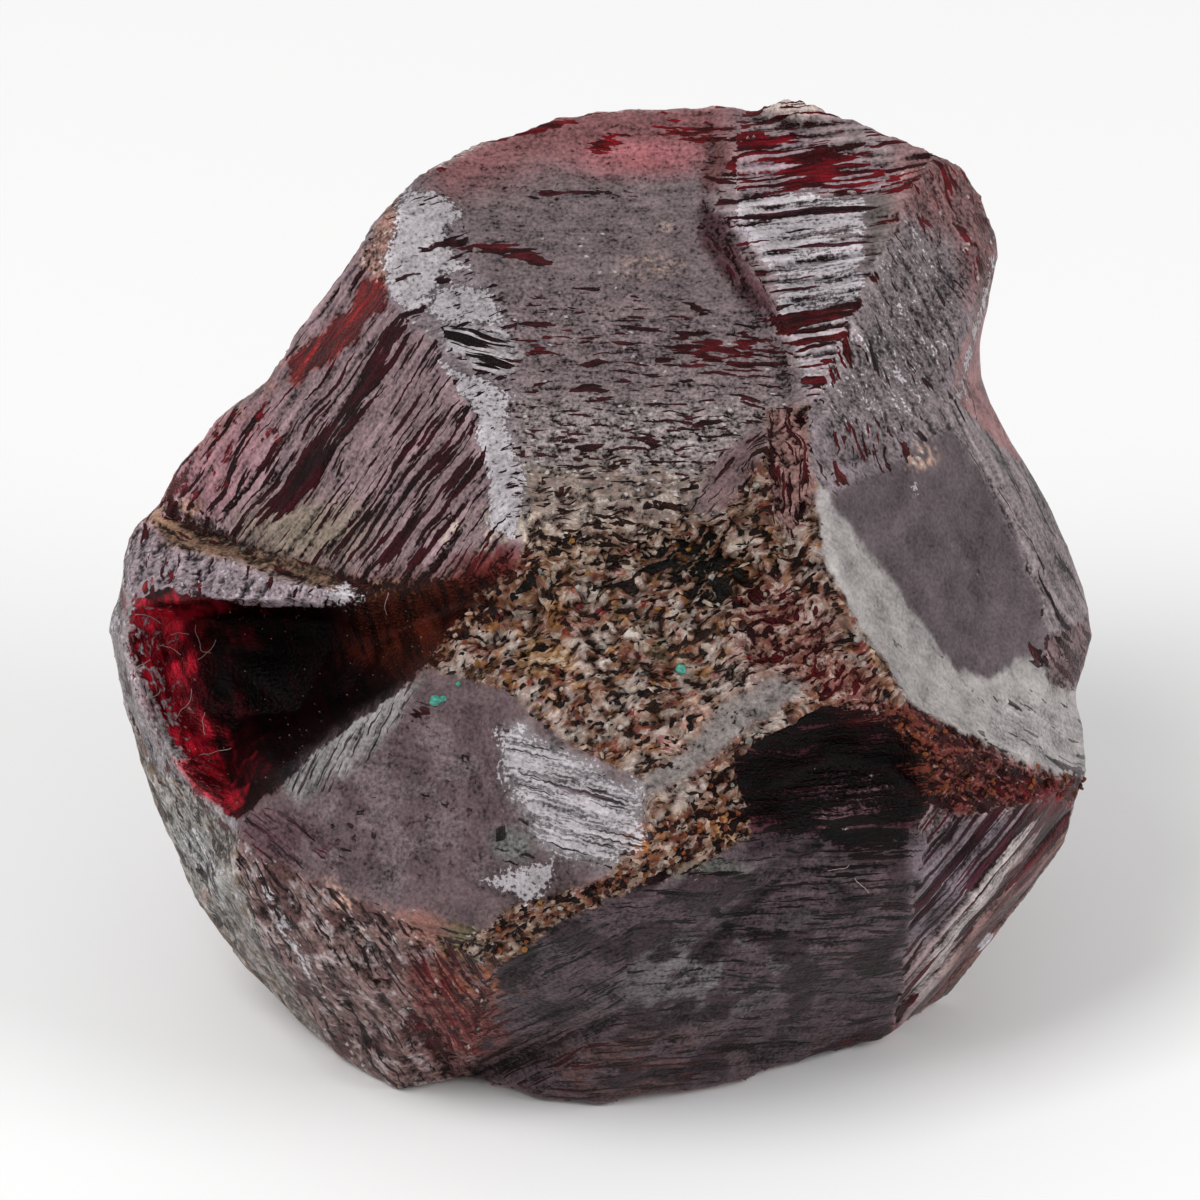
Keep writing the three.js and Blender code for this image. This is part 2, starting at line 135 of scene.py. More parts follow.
def blurred(values, rounds):
    """Values at the skin's points, drawn halfway to their neighbours' mean that many times."""
    columns = np.array(values, float).reshape(len(points), -1).T.copy()
    for _ in range(rounds):
        for column in columns:
            around = np.bincount(ends, column[starts], len(points)) / degree
            column += (around - column) / 2
    return columns.T.reshape(np.shape(values))


def normals_of(places):
    """Outward normals at the skin's points, from the triangles round each."""
    a, b, c = (places[triangles[:, k]] for k in range(3))
    turned = np.cross(b - a, c - a)
    total = np.stack([
        sum(np.bincount(triangles[:, k], turned[:, axis], len(places)) for k in range(3))
        for axis in range(3)
    ], 1)
    return total / np.linalg.norm(total, axis=1, keepdims=True).clip(1e-12)


lattice = np.random.default_rng(20).normal(size=(4096, 3))
lattice /= np.linalg.norm(lattice, axis=1, keepdims=True)


def lattice_at(cell, seed):
    """A random unit direction for each cell of space."""
    key = cell * (73856093, 19349663, 83492791)
    key = key[:, 0] ^ key[:, 1] ^ key[:, 2] ^ (seed * 2654435761)
    return lattice[(key ^ (key >> 13)) & 4095]


def noise(places, seed):
    """Smooth noise, about -1 to 1, with features about one unit of places wide."""
    cell = np.floor(places).astype(np.int64)
    part = places - cell
    ease = part**3 * (part * (part * 6 - 15) + 10)
    total = np.zeros(len(places))
    for corner in np.ndindex(2, 2, 2):
        weight = np.where(corner, ease, 1 - ease).prod(1)
        total += weight * ((part - corner) * lattice_at(cell + corner, seed)).sum(1)
    return total * 1.7  # stretched to about -1 to 1


def fractal(places, seed, octaves=3):
    """That noise with finer and fainter noise over it, each half the size of the last."""
    return sum(noise(places * 2**k, seed + k) / 2**k for k in range(octaves))


def broken(places, seed):
    """Broken ground: cells about one unit wide, each flat at its own height and tilt."""
    cell = np.floor(places).astype(np.int64)
    closest = np.full(len(places), 1e9)
    height = np.zeros(len(places))
    for step in np.ndindex(3, 3, 3):
        at = cell + step - 1
        away = places - at - 0.5 - 0.4 * lattice_at(at, seed)
        distance = (away * away).sum(1)
        plane = (away * lattice_at(at, seed + 1)).sum(1) + 0.4 * lattice_at(at, seed + 2)[:, 0]
        height = np.where(distance < closest, plane, height)
        closest = np.minimum(closest, distance)
    return height


def smooth(values, start, end):
    """0 below start, 1 above end, eased between them."""
    t = ((values - start) / (end - start)).clip(0, 1)
    return t * t * (3 - 2 * t)


def depth_inside(outline, places):
    """How far each place is inside an outline on the front, in mm: negative outside."""
    corners = np.array(outline)
    nearest_edge = np.full(len(places), 1e9)
    inside = np.zeros(len(places), bool)
    for (ax, ay), (bx, by) in zip(corners, np.roll(corners, -1, 0)):
        away = places[:, :2] - (ax, ay)
        side = np.array((bx - ax, by - ay))
        t = (away @ side / (side @ side)).clip(0, 1)
        nearest_edge = np.minimum(nearest_edge, np.hypot(*(away - t[:, None] * side).T))
        if ay != by:
            crossing = (ay > places[:, 1]) != (by > places[:, 1])
            inside ^= crossing & (away[:, 0] < side[0] * away[:, 1] / side[1])
    return np.where(inside, nearest_edge, -nearest_edge)


def depth_in_oval(oval, places):
    """The same for an oval: its middle, half length, half width and turn in degrees."""
    x, y, half_length, half_width, turn = oval
    c, s = math.cos(math.radians(turn)), math.sin(math.radians(turn))
    away = places[:, :2] - (x, y)
    reach = np.hypot(away @ (c, s) / half_length, away @ (-s, c) / half_width)
    return (1 - reach) * min(half_length, half_width)


def linear(hex_colour):
    """A '#rrggbb' sRGB colour as linear red, green and blue."""
    parts = [int(hex_colour[i:i + 2], 16) / 255 for i in (1, 3, 5)]
    return np.array([c / 12.92 if c <= 0.04045 else ((c + 0.055) / 1.055) ** 2.4 for c in parts])


# What a face of the front may set. outline: its corners, right and up, in mm. run: the way its
# growth lines run, in degrees up from rightwards. streak: their length and width, in mm. step:
# the depth of their steps. cleft: the share of it that lies open in clefts, and cleft_depth.
# grit: the depth of its fine roughness, and chip: of its broken ground. combed: how clearly it
# is lined. cover: how much of it is under worn skin. mottle: how uneven that skin is. fleck:
# how many pale chips it has, which on the rough faces also stand for painted glints.
# crust: pale skin, crushed in places and a painted highlight in others. grain: a
# mosaic of mineral grains.
# window: clear red glass. bend: how far its lines sway, in mm. lift: how far it stands proud, in
# mm. gape: how much of its clefts are broad ones. skin and deep: the colours of the skin and of
# the garnet in its clefts. What a face doesn't set is as here.
PLAIN = dict(
    run=12, streak=(2.4, 0.22), step=0.03, cleft=0.10, cleft_depth=0.05, grit=0.012, chip=0.0,
    combed=0.7, cover=0.78, mottle=0.5, fleck=0.0, crust=0.0, grain=0.0, window=0.0, bend=0.08,
    lift=0.0, gape=1.0, skin="#756a6d", deep="#2e1216", outline=None)

FACES = {
    "left face": dict(
        run=54, streak=(1.7, 0.10), step=0.045, cleft=0.2, cleft_depth=0.09, combed=0.95,
        cover=0.70, mottle=0.8, bend=0.1, skin="#8b7478", deep="#2c040a", gape=0.5,
        outline=[(-5.0, 6.8), (-4.0, 5.6), (-3.2, 5.1), (-3.0, 4.5), (-2.4, 3.6), (-1.8, 1.6),
                 (-1.6, 0.8), (-2.6, 0.5), (-4.3, 0.2), (-5.4, 0.5), (-7.0, 1.0), (-8.3, 2.0),
                 (-9.2, 2.4), (-8.5, 3.4), (-7.5, 4.1), (-6.9, 4.6), (-6.0, 6.0), (-5.4, 6.8)]),
    "bevel": dict(
        run=20, streak=(0.5, 0.10), grit=0.018, combed=0.4, cover=0.80, mottle=0.6, fleck=0.1,
        skin="#85787c", deep="#2a1014",
        outline=[(-4.2, 8.1), (-3.6, 8.4), (-2.9, 8.0), (-2.7, 7.7), (-2.6, 6.6), (-2.0, 6.2),
                 (-1.7, 5.5), (-1.8, 4.5), (-1.7, 3.8), (-1.3, 2.6), (-1.4, 1.2), (-1.7, 1.4),
                 (-2.4, 3.6), (-3.0, 4.5), (-3.2, 5.1), (-4.0, 5.6), (-4.5, 6.6)]),
    "top face": dict(
        run=-2, streak=(0.6, 0.09), step=0.018, cleft=0.0, cleft_depth=0.04, combed=0.5,
        cover=0.76, mottle=0.6, skin="#7a6b6d", deep="#341014", gape=0.0,
        outline=[(-3.6, 8.4), (-2.8, 9.2), (-1.0, 10.0), (1.2, 10.2), (2.9, 10.0), (2.7, 9.0),
                 (2.1, 8.6), (2.0, 7.7), (2.9, 6.2), (3.5, 5.4), (4.0, 4.0), (3.3, 3.3),
                 (2.7, 2.4), (2.2, 1.9), (0.8, 2.4), (-0.4, 2.2), (-1.4, 2.4), (-1.7, 3.8),
                 (-1.8, 4.5), (-1.7, 5.5), (-2.0, 6.2), (-2.6, 6.6), (-2.7, 7.7)]),
    "stepped face": dict(
        run=7, streak=(1.9, 0.13), step=0.06, cleft=0.28, cleft_depth=0.08, combed=1.0, cover=0.68,
        mottle=0.8, skin="#877779", deep="#480a10", bend=0.05, gape=0.6,
        outline=[(2.7, 9.0), (2.9, 10.0), (3.4, 10.2), (4.6, 10.1), (6.1, 9.5), (6.8, 9.1),
                 (6.1, 7.9), (5.8, 7.0), (5.4, 6.0), (5.0, 4.6), (4.4, 4.2), (4.1, 4.0),
                 (3.9, 4.6), (3.5, 5.4), (2.9, 6.2), (2.5, 7.2), (2.6, 8.1)]),
    "upper right face": dict(
        run=-60, streak=(0.5, 0.08), cleft=0.05, cleft_depth=0.04, combed=0.75, cover=0.80,
        mottle=0.8, bend=0.2, skin="#82767a", deep="#33181a", gape=0.3,
        outline=[(6.1, 7.9), (6.8, 9.2), (7.7, 8.7), (8.2, 7.5), (7.8, 6.4), (7.3, 5.2),
                 (7.0, 4.1), (6.0, 3.1), (4.7, 2.2), (4.2, 2.4), (4.0, 3.6), (4.4, 4.2),
                 (5.0, 4.6), (5.4, 6.0), (5.8, 7.0)]),
    "thin edge": dict(
        run=-72, streak=(1.6, 0.12), cleft=0.05, cleft_depth=0.03, combed=0.8, cover=0.85,
        skin="#a07878", deep="#5c2024",
        outline=[(8.2, 7.5), (8.3, 6.0), (7.9, 4.4), (8.8, 3.0), (8.4, 2.6), (7.8, 3.4),
                 (7.1, 4.0), (7.3, 5.2), (7.8, 6.4)]),
    "plate": dict(
        run=-62, streak=(2.4, 0.20), step=0.010, cleft=0.0, grit=0.005, combed=0.25, cover=0.98,
        mottle=0.26, fleck=0.012, skin="#6b5f63", deep="#2e2226",
        outline=[(4.55, 1.95), (6.0, 2.6), (7.0, 3.4), (7.3, 3.0), (7.7, 2.4), (8.2, 1.4),
                 (8.7, 0.2), (9.0, -0.9), (8.4, -1.1), (7.7, -1.6), (7.1, -1.4), (6.1, -0.1),
                 (5.4, 1.0)]),
    "flank": dict(
        run=-62, streak=(2.4, 0.11), step=0.035, cleft_depth=0.03, grit=0.008, combed=1.0,
        mottle=1.1, bend=0.1, skin="#887c7e", deep="#38292c", gape=0.5,
        outline=[(6.0, 3.1), (7.1, 4.0), (7.8, 3.4), (8.4, 3.0), (9.2, 2.1), (9.8, 0.9),
                 (10.2, -0.7), (10.0, -1.4), (9.8, -1.8), (9.2, -1.8), (8.8, -1.4), (9.0, -0.9),
                 (8.7, 0.2), (8.2, 1.4), (7.7, 2.4), (7.3, 3.0), (7.0, 3.4)]),
    # The pale band's light skin is a painted highlight, where the band catches the light.
    "pale band": dict(
        run=-40, streak=(0.7, 0.14), step=0.008, cleft=0.02, cleft_depth=0.03, grit=0.008,
        combed=0.8, cover=0.95, mottle=0.3, bend=0.1, skin="#b2acaa", deep="#5a5052",
        outline=[(4.1, 2.3), (4.55, 1.95), (5.4, 1.0), (6.1, -0.1), (7.1, -1.4), (7.7, -1.6),
                 (8.4, -1.1), (9.2, -1.8), (9.8, -1.8), (10.0, -2.7), (10.0, -3.6), (9.2, -3.4),
                 (7.8, -2.9), (6.1, -2.0), (5.4, -0.8), (4.4, 0.7)]),
    "pit": dict(
        run=24, streak=(0.30, 0.13), step=0.02, cleft_depth=0.14, grit=0.030, chip=0.18,
        combed=0.1, cover=0.66, mottle=0.75, grain=1.0, bend=0.3, skin="#70564a", deep="#20110a",
        gape=0.5,
        outline=[(-1.4, 2.4), (-0.4, 2.2), (0.8, 2.4), (2.2, 1.9), (2.7, 2.4), (3.3, 3.3),
                 (4.1, 4.0), (4.2, 2.4), (4.4, 0.7), (5.4, -0.8), (6.1, -2.0), (4.6, -2.0),
                 (3.8, -2.3), (2.0, -3.8), (1.0, -4.7), (0.8, -3.5), (-0.8, -2.7), (-1.8, -1.8),
                 (-3.5, -1.3), (-2.6, 0.0), (-1.6, 0.8), (-1.4, 1.2)]),
    "lower left face": dict(
        run=-14, streak=(1.2, 0.14), step=0.012, cleft=0.0, combed=0.4, cover=0.95, mottle=0.42,
        fleck=0.02, bend=0.1, skin="#6c5a5d", deep="#33262a",
        outline=[(-3.5, -1.3), (-1.8, -1.8), (-0.8, -2.7), (0.8, -3.5), (0.8, -4.6), (0.0, -5.5),
                 (-1.6, -6.0), (-2.8, -6.9), (-4.4, -6.1), (-6.0, -5.4), (-7.2, -4.7),
                 (-6.9, -4.1), (-6.3, -3.6), (-5.2, -2.7), (-4.0, -1.8)]),
    "scoop": dict(
        run=-70, streak=(1.4, 0.5), step=0.01, cleft=0.0, grit=0.006, combed=0.4, cover=-0.30,
        mottle=0.3, skin="#5a1418", deep="#0b0001",
        outline=[(-9.4, 0.0), (-8.7, 0.2), (-7.2, -0.1), (-5.4, -0.2), (-4.3, 0.2), (-2.6, 0.5),
                 (-1.6, 0.8), (-2.6, 0.0), (-3.5, -1.3), (-4.0, -1.8), (-5.2, -2.7), (-6.3, -3.6),
                 (-6.9, -4.1), (-7.5, -4.2), (-8.4, -2.9), (-9.0, -1.8), (-9.4, -1.0)]),
    "ledge": dict(
        run=78, streak=(0.5, 0.13), step=0.05, cleft_depth=0.06, grit=0.03, chip=0.04, cover=0.75,
        mottle=1.1, fleck=0.15, crust=0.18, skin="#93848a", deep="#3a1014",
        outline=[(-9.7, 1.4), (-8.8, 2.2), (-8.3, 2.0), (-7.0, 1.0), (-5.4, 0.5), (-4.3, 0.2),
                 (-5.4, -0.2), (-7.2, -0.1), (-8.7, 0.2), (-9.4, 0.0), (-9.7, 0.2)]),
    "left rim": dict(
        run=-75, streak=(0.9, 0.14), step=0.04, cleft=0.12, grit=0.025, combed=0.6, cover=0.76,
        mottle=0.9, fleck=0.1, skin="#8f8789", deep="#4a1015", gape=0.5,
        outline=[(-10.1, 0.8), (-9.7, 1.4), (-9.4, 0.0), (-9.4, -1.0), (-9.0, -1.8), (-8.4, -2.9),
                 (-7.5, -4.2), (-7.3, -4.6), (-9.0, -3.2), (-10.1, -1.2)]),
    "left side": dict(
        run=-62, streak=(0.8, 0.09), step=0.04, cleft=0.16, grit=0.03, combed=0.8, cover=0.74,
        mottle=1.2, fleck=0.1, bend=0.15, skin="#958c88", deep="#3a2824", gape=0.4,
        outline=[(-9.6, -2.4), (-9.0, -3.2), (-7.3, -4.6), (-7.2, -5.4), (-6.6, -7.0),
                 (-5.2, -9.4), (-7.0, -8.2), (-8.4, -6.4), (-9.4, -4.0)]),
    "scaly side": dict(
        run=-56, streak=(0.8, 0.08), cleft=0.18, grit=0.03, chip=0.03, combed=0.85, cover=0.70,
        mottle=1.0, fleck=0.1, bend=0.12, skin="#7c6461", deep="#2b1014", gape=0.35,
        outline=[(-7.2, -4.7), (-6.0, -5.4), (-4.4, -6.1), (-2.8, -6.9), (-2.0, -7.2),
                 (-2.2, -8.2), (-2.7, -9.8), (-4.0, -10.1), (-5.2, -9.5), (-6.6, -7.0),
                 (-7.2, -5.4)]),
    "worn seam": dict(
        run=30, streak=(0.25, 0.12), step=0.02, cleft=0.26, cleft_depth=0.10, grit=0.05, chip=0.10,
        combed=0.1, cover=0.60, mottle=0.9, grain=0.9, skin="#5e3a2a", deep="#1c0806", gape=0.5,
        outline=[(-2.8, -6.9), (-1.6, -6.0), (0.0, -5.5), (0.8, -4.6), (2.0, -3.8), (2.6, -3.2),
                 (2.9, -4.0), (3.0, -4.6), (2.0, -5.2), (0.4, -5.8), (-0.8, -6.3), (-2.0, -7.3)]),
    "dark hollow": dict(
        run=4, streak=(1.6, 0.09), step=0.01, cleft=0.3, cleft_depth=0.03, grit=0.010, combed=0.9,
        cover=0.22, mottle=0.6, skin="#42222a", deep="#0a0102",
        outline=[(2.5, -3.1), (3.4, -2.6), (4.4, -2.1), (5.4, -2.2), (6.1, -2.8), (6.5, -3.3),
                 (6.6, -4.0), (5.8, -4.6), (5.0, -5.0), (4.0, -4.6), (3.0, -4.6), (2.8, -4.0)]),
    "stained shelf": dict(
        run=-30, streak=(0.3, 0.10), cleft=0.30, cleft_depth=0.08, grit=0.04, chip=0.06,
        combed=0.3, cover=0.52, mottle=1.0, grain=0.3, skin="#622c29", deep="#300408", gape=0.5,
        outline=[(6.1, -2.0), (7.8, -2.9), (9.2, -3.4), (10.0, -3.6), (9.9, -4.1), (8.8, -4.0),
                 (8.0, -4.2), (7.0, -4.3), (6.6, -4.0), (6.5, -3.3), (6.1, -2.8), (5.4, -2.2)]),
    # Its dark skin is partly painted shade, where the stone faces down.
    "lower front face": dict(
        run=3, streak=(1.1, 0.08), step=0.020, cleft=0.12, cleft_depth=0.030, grit=0.010,
        combed=0.9, cover=0.74, mottle=1.15, bend=0.06, skin="#4f4347", deep="#180c0f", gape=0.2,
        outline=[(-2.0, -7.3), (-0.8, -6.3), (0.4, -5.8), (2.0, -5.2), (3.0, -4.6), (4.0, -4.6),
                 (5.0, -5.0), (5.8, -4.6), (6.5, -4.8), (6.2, -6.4), (6.0, -8.0), (5.9, -9.0),
                 (3.2, -9.7), (0.0, -10.4), (-1.6, -10.4), (-2.7, -9.8), (-2.2, -8.2)]),
    "ribbed face": dict(
        run=50, streak=(4.0, 0.11), step=0.07, cleft=0.44, cleft_depth=0.07, grit=0.008,
        combed=1.0, cover=0.66, mottle=1.2, skin="#8a7678", deep="#3c060e", bend=0.03, gape=0.8,
        outline=[(6.6, -4.0), (7.0, -4.3), (8.0, -4.2), (8.8, -4.0), (9.9, -4.1), (9.6, -5.2),
                 (8.4, -6.6), (7.2, -8.2), (5.9, -9.0), (6.0, -8.0), (6.2, -6.4), (6.5, -4.8)]),
    "back": dict(bend=0.0, gape=0.0, cleft=0.0, skin="#786c6e", mottle=0.8),
}

# Marks on those faces, each over the ones before it. oval: its middle, half length and half
# width in mm, and its turn in degrees; outline is as for a face, and within names a face that
# it fills. edge: how softly it ends, in mm. ragged: how far its outline wanders, in mm. patchy:
# the share of it that holds, where it is broken up, and patch: the size of those pieces, in mm.
# The other names set what a face sets. Their order also sets their random shapes.
MARKS = {
    # the left face and its rim
    "pink lower left": dict(oval=(-7.9, 2.7, 1.5, 0.9, 50), edge=0.5, skin="#9c747a"),
    "olive foot": dict(oval=(-5.9, 1.4, 1.3, 0.6, 0), edge=0.4, skin="#8c7d70", cleft=0.12),
    "main cleft": dict(
        outline=[(-4.2, 5.6), (-3.9, 5.7), (-3.8, 5.2), (-4.3, 4.4), (-4.9, 3.5), (-5.6, 2.5),
                 (-6.4, 1.6), (-7.0, 1.3), (-6.7, 2.0), (-5.9, 3.0), (-5.3, 3.9), (-4.7, 4.8)],
        cleft=0.72, gape=0.40),
    "second clefts": dict(
        outline=[(-2.4, 4.0), (-2.2, 3.2), (-3.0, 2.0), (-4.1, 0.8), (-5.4, 0.8), (-5.0, 1.8),
                 (-4.0, 3.0), (-3.2, 4.0)],
        cleft=0.46, gape=0.12),
    "thin cleft right": dict(oval=(-3.1, 1.4, 0.9, 0.08, 50), cleft=1.0, edge=0.05),
    "orange rim": dict(
        outline=[(-4.9, 6.8), (-4.3, 7.9), (-4.1, 8.2), (-3.95, 7.6), (-4.2, 6.8), (-4.4, 6.0)],
        skin="#8a6a62", cleft=0.10, mottle=1.4, fleck=0.2),
    "red rim": dict(oval=(-7.2, 3.9, 1.4, 0.22, 42), edge=0.2, patchy=0.5, skin="#96706c"),
    "red rim window": dict(
        outline=[(-4.5, 6.5), (-4.25, 6.2), (-4.9, 5.3), (-5.6, 4.7), (-6.1, 4.4), (-6.3, 4.8),
                 (-5.7, 5.3), (-5.1, 5.9), (-4.8, 6.4)],
        cover=0.12, cleft=0.0, window=0.3, ragged=0.15, skin="#8c3a34", deep="#840a12"),
    "low red window": dict(
        oval=(-8.6, 2.35, 0.45, 0.18, 45), cover=0.1, ragged=0.1, deep="#80101a", window=0.4),
    "red chips": dict(
        outline=[(-8.9, 2.3), (-7.4, 4.1), (-6.6, 4.6), (-6.2, 3.4), (-7.4, 2.2), (-8.2, 1.8)],
        edge=0.3, patchy=0.10, cover=0.1, deep="#78101a"),
    "ochre spot": dict(oval=(-8.6, 1.75, 0.5, 0.22, 0), edge=0.2, patchy=0.6, skin="#b08868"),
    # the bevel
    # The bevel's pale patches and the pale skin of its black steps are painted highlights, drawn as
    # pale crust.
    "upper bevel highlight": dict(
        outline=[(-4.1, 7.9), (-3.8, 8.2), (-3.4, 8.2), (-2.9, 8.0), (-2.8, 7.7), (-3.1, 7.4),
                 (-3.0, 6.9), (-2.6, 6.6), (-3.2, 6.5), (-3.4, 6.0), (-3.6, 5.8), (-4.0, 5.8),
                 (-4.2, 6.2), (-4.4, 6.8), (-4.1, 7.3)],
        crust=1.08, edge=0.16, gape=0.0, cleft=0.04),
    "middle bevel highlight": dict(
        outline=[(-3.2, 6.2), (-2.3, 6.2), (-2.0, 5.7), (-1.9, 5.4), (-2.4, 5.5), (-3.1, 5.5),
                 (-3.4, 5.8)],
        crust=1.08, edge=0.16, gape=0.0, cleft=0.06),
    "black steps": dict(
        outline=[(-3.2, 5.5), (-1.9, 5.35), (-1.6, 4.9), (-1.8, 4.5), (-2.4, 4.6), (-3.0, 5.0)],
        run=-12, streak=(1.8, 0.09), combed=1.0, cleft=0.56, step=0.05, gape=0.0, skin="#b8b0b4",
        deep="#0e0305"),
    "lower bevel highlight": dict(
        outline=[(-3.3, 4.9), (-2.9, 4.6), (-2.2, 4.4), (-1.8, 4.1), (-1.8, 3.8), (-1.9, 3.5),
                 (-1.7, 3.0), (-1.5, 2.4), (-1.5, 2.1), (-1.7, 1.2), (-2.2, 1.4), (-2.2, 2.3),
                 (-2.4, 3.0), (-2.4, 3.7), (-2.9, 4.3)],
        crust=1.02, edge=0.16, gape=0.0, cleft=0.08),
    "bevel foot red": dict(
        oval=(-2.2, 0.9, 0.7, 0.2, 10), edge=0.15, skin="#5c2a2c", deep="#40060c", cleft=0.3),
    # the top face
    # The rosy top and the pink bloom are a painted glow: light shining through the thin top edge,
    # painted pink into its skin.
    "rosy top": dict(
        outline=[(-3.8, 8.9), (-1.0, 10.4), (2.8, 10.4), (2.6, 8.9), (1.0, 8.8), (-1.0, 8.7),
                 (-3.0, 8.1)],
        edge=0.6, skin="#865a5c", deep="#6a0a10"),
    "pink bloom": dict(oval=(0.9, 8.9, 1.2, 0.35, 0), edge=0.3, skin="#a8686c"),
    "rim gravel": dict(
        outline=[(-3.9, 8.9), (-1.0, 10.3), (2.9, 10.3), (2.9, 9.9), (-0.9, 9.75), (-3.4, 8.6)],
        skin="#8c7472", cleft=0.25, fleck=0.8, mottle=1.2, chip=0.05),
    "top slit left": dict(oval=(-1.3, 9.45, 0.8, 0.10, 12), cleft=1.0, deep="#600810"),
    "top slit middle": dict(oval=(0.1, 9.1, 0.35, 0.11, 20), cleft=1.0, deep="#700810"),
    "top slits right": dict(oval=(1.9, 9.35, 0.9, 0.22, -4), cleft=0.55, deep="#58080e"),
    "long line": dict(oval=(-0.4, 8.15, 1.1, 0.05, 2), cleft=1.0, edge=0.04),
    "dark lens": dict(oval=(-1.9, 6.95, 0.85, 0.13, -12), cleft=0.95, edge=0.07, deep="#4a1016"),
    "chips": dict(
        outline=[(-1.3, 7.9), (-0.2, 8.1), (0.8, 7.6), (0.8, 6.0), (-1.2, 6.1)],
        edge=0.4, fleck=0.08),
    "peach spots": dict(
        oval=(1.0, 6.65, 0.5, 0.2, 0), edge=0.15, patchy=0.5, patch=0.16, skin="#b49a92"),
    "peach spot above": dict(oval=(1.35, 7.45, 0.14, 0.10, 0), edge=0.06, skin="#b8a09a"),
    "dashed belt": dict(
        outline=[(-1.9, 5.9), (0.0, 6.1), (3.2, 5.5), (4.0, 4.0), (3.0, 3.0), (-1.5, 2.5)],
        edge=0.4, cleft=0.17, fleck=0.08, mottle=0.9, gape=0.25),
    "red dashes left": dict(oval=(-0.8, 5.1, 1.0, 0.25, 5), edge=0.2, cleft=0.30, deep="#4e0c12"),
    "dark clumps": dict(oval=(2.4, 4.95, 1.15, 0.38, -3), edge=0.2, cleft=0.60, deep="#420a0e"),
    "granular foot": dict(
        outline=[(-1.6, 3.9), (3.4, 3.9), (3.2, 3.2), (2.2, 1.8), (0.8, 2.3), (-1.4, 2.3)],
        edge=0.4, combed=0.3, chip=0.04, grit=0.03, mottle=1.0, fleck=0.2, cleft=0.22, gape=0.3,
        skin="#8a7f7e"),
    # the scarp between the top face and the stepped face
    "scarp": dict(
        outline=[(2.06, 8.0), (2.5, 7.6), (2.75, 6.95), (3.3, 6.2), (3.5, 5.6), (3.0, 5.8),
                 (2.4, 6.5), (2.0, 7.2)],
        run=-62, skin="#553a3f", cleft=0.05, fleck=0.05, combed=0.5, deep="#3a0e12"),
    "scarp head": dict(oval=(2.3, 8.6, 0.45, 0.22, 70), skin="#6c4848", cleft=0.2),
    "pale sliver": dict(oval=(3.05, 7.2, 0.65, 0.14, -50), edge=0.08, skin="#b0a4ac", cleft=0.0),
    # the stepped face
    "knob": dict(
        oval=(3.9, 9.95, 0.7, 0.35, -8), edge=0.15, skin="#94857f", cleft=0.05, gape=0.0,
        combed=0.3, fleck=0.3, mottle=1.1, lift=0.30),
    "red steps": dict(
        outline=[(2.8, 9.2), (3.6, 9.4), (5.3, 8.9), (5.9, 8.6), (5.6, 8.2), (2.7, 8.15)],
        cleft=0.52, edge=0.12, gape=0.2, run=8, streak=(1.5, 0.12), deep="#5c0812",
        skin="#948086"),
    # The lilac steps' pale crust is a painted highlight on the lower steps.
    "lilac steps": dict(
        outline=[(2.7, 8.15), (5.5, 8.15), (5.4, 7.4), (5.2, 5.9), (3.5, 5.6), (3.5, 6.3),
                 (2.75, 7.6)],
        crust=0.75, cleft=0.13, deep="#3c1820", edge=0.12),
    "red line": dict(oval=(4.3, 5.7, 0.9, 0.09, 8), cleft=1.0, crust=0.0, deep="#3a060a"),
    "red stack": dict(
        outline=[(3.7, 5.5), (5.1, 5.75), (4.9, 4.4), (4.1, 4.05)],
        cleft=0.42, skin="#a4989c", deep="#4c0a10", fleck=0.4),
    "grey border": dict(
        outline=[(5.3, 8.2), (5.9, 8.2), (6.1, 7.8), (5.6, 6.0), (5.1, 5.2), (5.3, 6.6)],
        crust=0.0, skin="#665e5c", cleft=0.1, edge=0.12),
    # the upper right face
    "rosy corner": dict(
        outline=[(5.9, 9.3), (7.6, 8.9), (8.3, 7.8), (8.2, 6.2), (7.4, 5.8), (7.0, 7.2),
                 (5.9, 7.6)],
        edge=0.45, skin="#7a5a5a", deep="#5a0c12", cleft=0.2, mottle=1.1, fleck=0.1),
    "corner windows": dict(oval=(6.95, 8.4, 0.5, 0.18, -75), cleft=0.6, deep="#640a10"),
    "pale ridges": dict(
        outline=[(4.4, 4.4), (5.4, 6.6), (6.2, 7.6), (7.0, 7.0), (7.2, 5.6), (6.8, 4.0),
                 (5.8, 3.3), (4.6, 3.4)],
        edge=0.3, crust=0.24, run=-62, streak=(0.9, 0.12), skin="#7c7173", mottle=1.2),
    # Like the pale band, the band foot's light skin is a painted highlight.
    "band foot": dict(
        outline=[(7.9, -2.0), (9.0, -1.9), (10.0, -2.4), (10.0, -3.6), (9.0, -3.3), (7.6, -2.8)],
        edge=0.3, run=-30, streak=(0.9, 0.10), cleft=0.10, mottle=0.6, skin="#aca6a5"),
    "pale line": dict(outline=[(7.85, 6.9), (7.95, 6.9), (7.25, 4.0), (7.1, 4.0)], crust=0.8),
    "red ticks": dict(
        outline=[(4.5, 3.4), (5.1, 3.6), (6.1, 3.1), (6.2, 2.8), (4.7, 2.2)],
        cleft=0.30, gape=0.3, run=-75, streak=(0.5, 0.10), deep="#4a0c10", edge=0.2),
    # the plate and the flank
    "peach patch": dict(
        oval=(6.35, 2.85, 0.38, 0.25, 20), patchy=0.4, patch=0.11, skin="#c4a292", fleck=0.4),
    "white chip": dict(oval=(6.24, 2.17, 0.13, 0.05, -80), crust=1.0, edge=0.05),
    "notch": dict(oval=(8.65, -1.1, 0.3, 0.14, -30), cleft=0.8, deep="#481018"),
    "notch steps": dict(
        outline=[(8.9, -0.8), (10.0, -0.2), (10.0, -1.8), (9.0, -1.7)],
